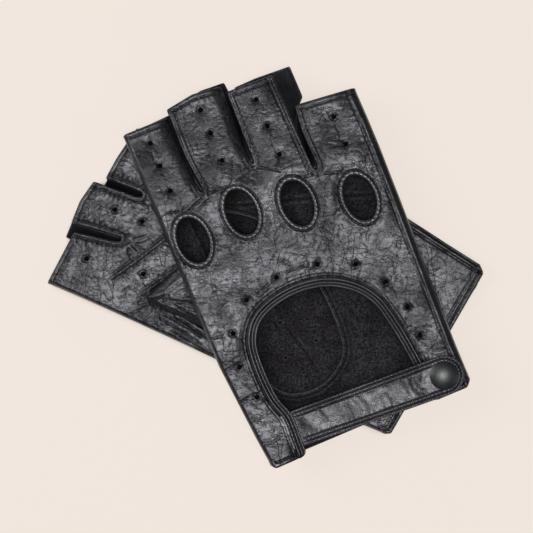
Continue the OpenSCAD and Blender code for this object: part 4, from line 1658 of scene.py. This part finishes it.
def domed_cap():
    """A snap's cap about the z axis, in mm: a shallow dome inside a rolled rim."""
    k = 96
    dome_r = 19.3
    crown = np.array([0.6, 1.4, 2.2, 3.0, 3.8, 4.6, 5.4, 6.1, 6.7])
    profile = [(q, CAP_H - (dome_r - math.sqrt(dome_r ** 2 - q * q))) for q in crown]
    profile += [(6.95, 0.46), (7.05, 0.36), (7.2, 0.33), (7.42, 0.27), (7.5, 0.14),
                (7.46, 0.04), (7.3, 0), (6.6, 0), (5.0, 0), (2.5, 0)]
    a = np.arange(k) * 2 * math.pi / k
    verts = [(0, 0, CAP_H)]
    for q, h in profile:
        verts += [(q * math.cos(t), q * math.sin(t), h) for t in a]
    verts = np.array([*verts, (0, 0, 0)])
    i = 1 + np.arange(len(profile) - 1)[:, None] * k + np.arange(k)[None]
    j = 1 + np.arange(len(profile) - 1)[:, None] * k + (np.arange(k)[None] + 1) % k
    first = 1 + np.arange(k)
    last = first + (len(profile) - 1) * k
    faces = np.vstack([np.stack([i, i + k, j + k], -1).reshape(-1, 3),
                       np.stack([i, j + k, j], -1).reshape(-1, 3),
                       np.stack([0 * first, first, np.roll(first, -1)], 1),
                       np.stack([0 * first + len(verts) - 1, np.roll(last, -1), last], 1)])
    return verts, faces


def split_runs(p, gap):
    """A path cut wherever two points lie further apart than the gap."""
    step = np.linalg.norm(np.diff(p, axis=0), axis=1)
    cuts = [0, *(np.nonzero(step > gap)[0] + 1), len(p)]
    return [p[a:b] for a, b in zip(cuts, cuts[1:]) if b - a > 4]


for glove in (LEFT, RIGHT):
    Glove(glove)


# ---------------------------------------------------------- floor, light, camera
def floor():
    """A pale floor that glows a little, so that shadows on it stay faint."""
    bpy.ops.mesh.primitive_plane_add(size=6, location=(0, 0, -0.0004))
    o = bpy.context.object
    o.name = "floor"
    m = bpy.data.materials.new("pale_floor")
    m.use_nodes = True
    nt = m.node_tree
    nt.nodes.clear()
    out = node(nt, "OutputMaterial")
    glow = node(nt, "Emission", Color=(0.871, 0.791, 0.723, 1))
    # painted shadow: the floor's glow, and the colour it takes from the lamps, fade to near
    # black where the gloves lie within a few mm above it
    near = node(nt, "AmbientOcclusion", Distance=0.006, samples=6).outputs["AO"]
    nt.links.new(ramp(nt, near, [(0.15, 0.0), (0.6, 0.865)]), glow.inputs["Strength"])
    paint = node(nt, "BsdfDiffuse")
    dull = ramp(nt, near, [(0.15, (0.004, 0.004, 0.004)), (0.6, (0.14, 0.126, 0.116))])
    nt.links.new(dull, paint.inputs["Color"])
    add = node(nt, "AddShader")
    nt.links.new(glow.outputs[0], add.inputs[0])
    nt.links.new(paint.outputs[0], add.inputs[1])
    nt.links.new(add.outputs[0], out.inputs["Surface"])
    o.data.materials.append(m)


def softbox(name, place_at, size, watts, colour=(1, 1, 1)):
    light = bpy.data.lights.new(name, "AREA")
    light.shape = "RECTANGLE"
    light.size, light.size_y = size
    light.energy = watts
    light.color = colour
    o = bpy.data.objects.new(name, light)
    o.location = place_at
    o.rotation_euler = (-Vector(place_at)).to_track_quat("-Z", "Y").to_euler()
    bpy.context.scene.collection.objects.link(o)


floor()
softbox("key", (0.05, -0.1, 1.5), (0.4, 0.4), 10.5)
softbox("left", (-0.85, 0.25, 1.0), (0.5, 0.9), 7)
softbox("right", (0.9, -0.3, 0.8), (0.4, 0.8), 1)
softbox("low_front", (0.1, -1.3, 0.4), (0.8, 0.3), 2)
softbox("low_back", (-0.2, 1.3, 0.45), (0.8, 0.3), 2)
world = bpy.data.worlds.new("studio")
world.use_nodes = True
world.node_tree.nodes["Background"].inputs["Color"].default_value = (1, 0.985, 0.97, 1)
world.node_tree.nodes["Background"].inputs["Strength"].default_value = 0.04
bpy.context.scene.world = world
bpy.context.scene.view_settings.view_transform = "Standard"

VIEW_WIDTH = 0.2338
CAMERA_HEIGHT = 1.2
camera = bpy.data.cameras.new("camera")
camera.sensor_width = 36
camera.lens = 36 * CAMERA_HEIGHT / VIEW_WIDTH
camera.clip_end = 10
eye = bpy.data.objects.new("camera", camera)
eye.location = (-PAIR_CENTRE[0] * MM, -PAIR_CENTRE[1] * MM, CAMERA_HEIGHT + 0.016)
bpy.context.scene.collection.objects.link(eye)
bpy.context.scene.camera = eye
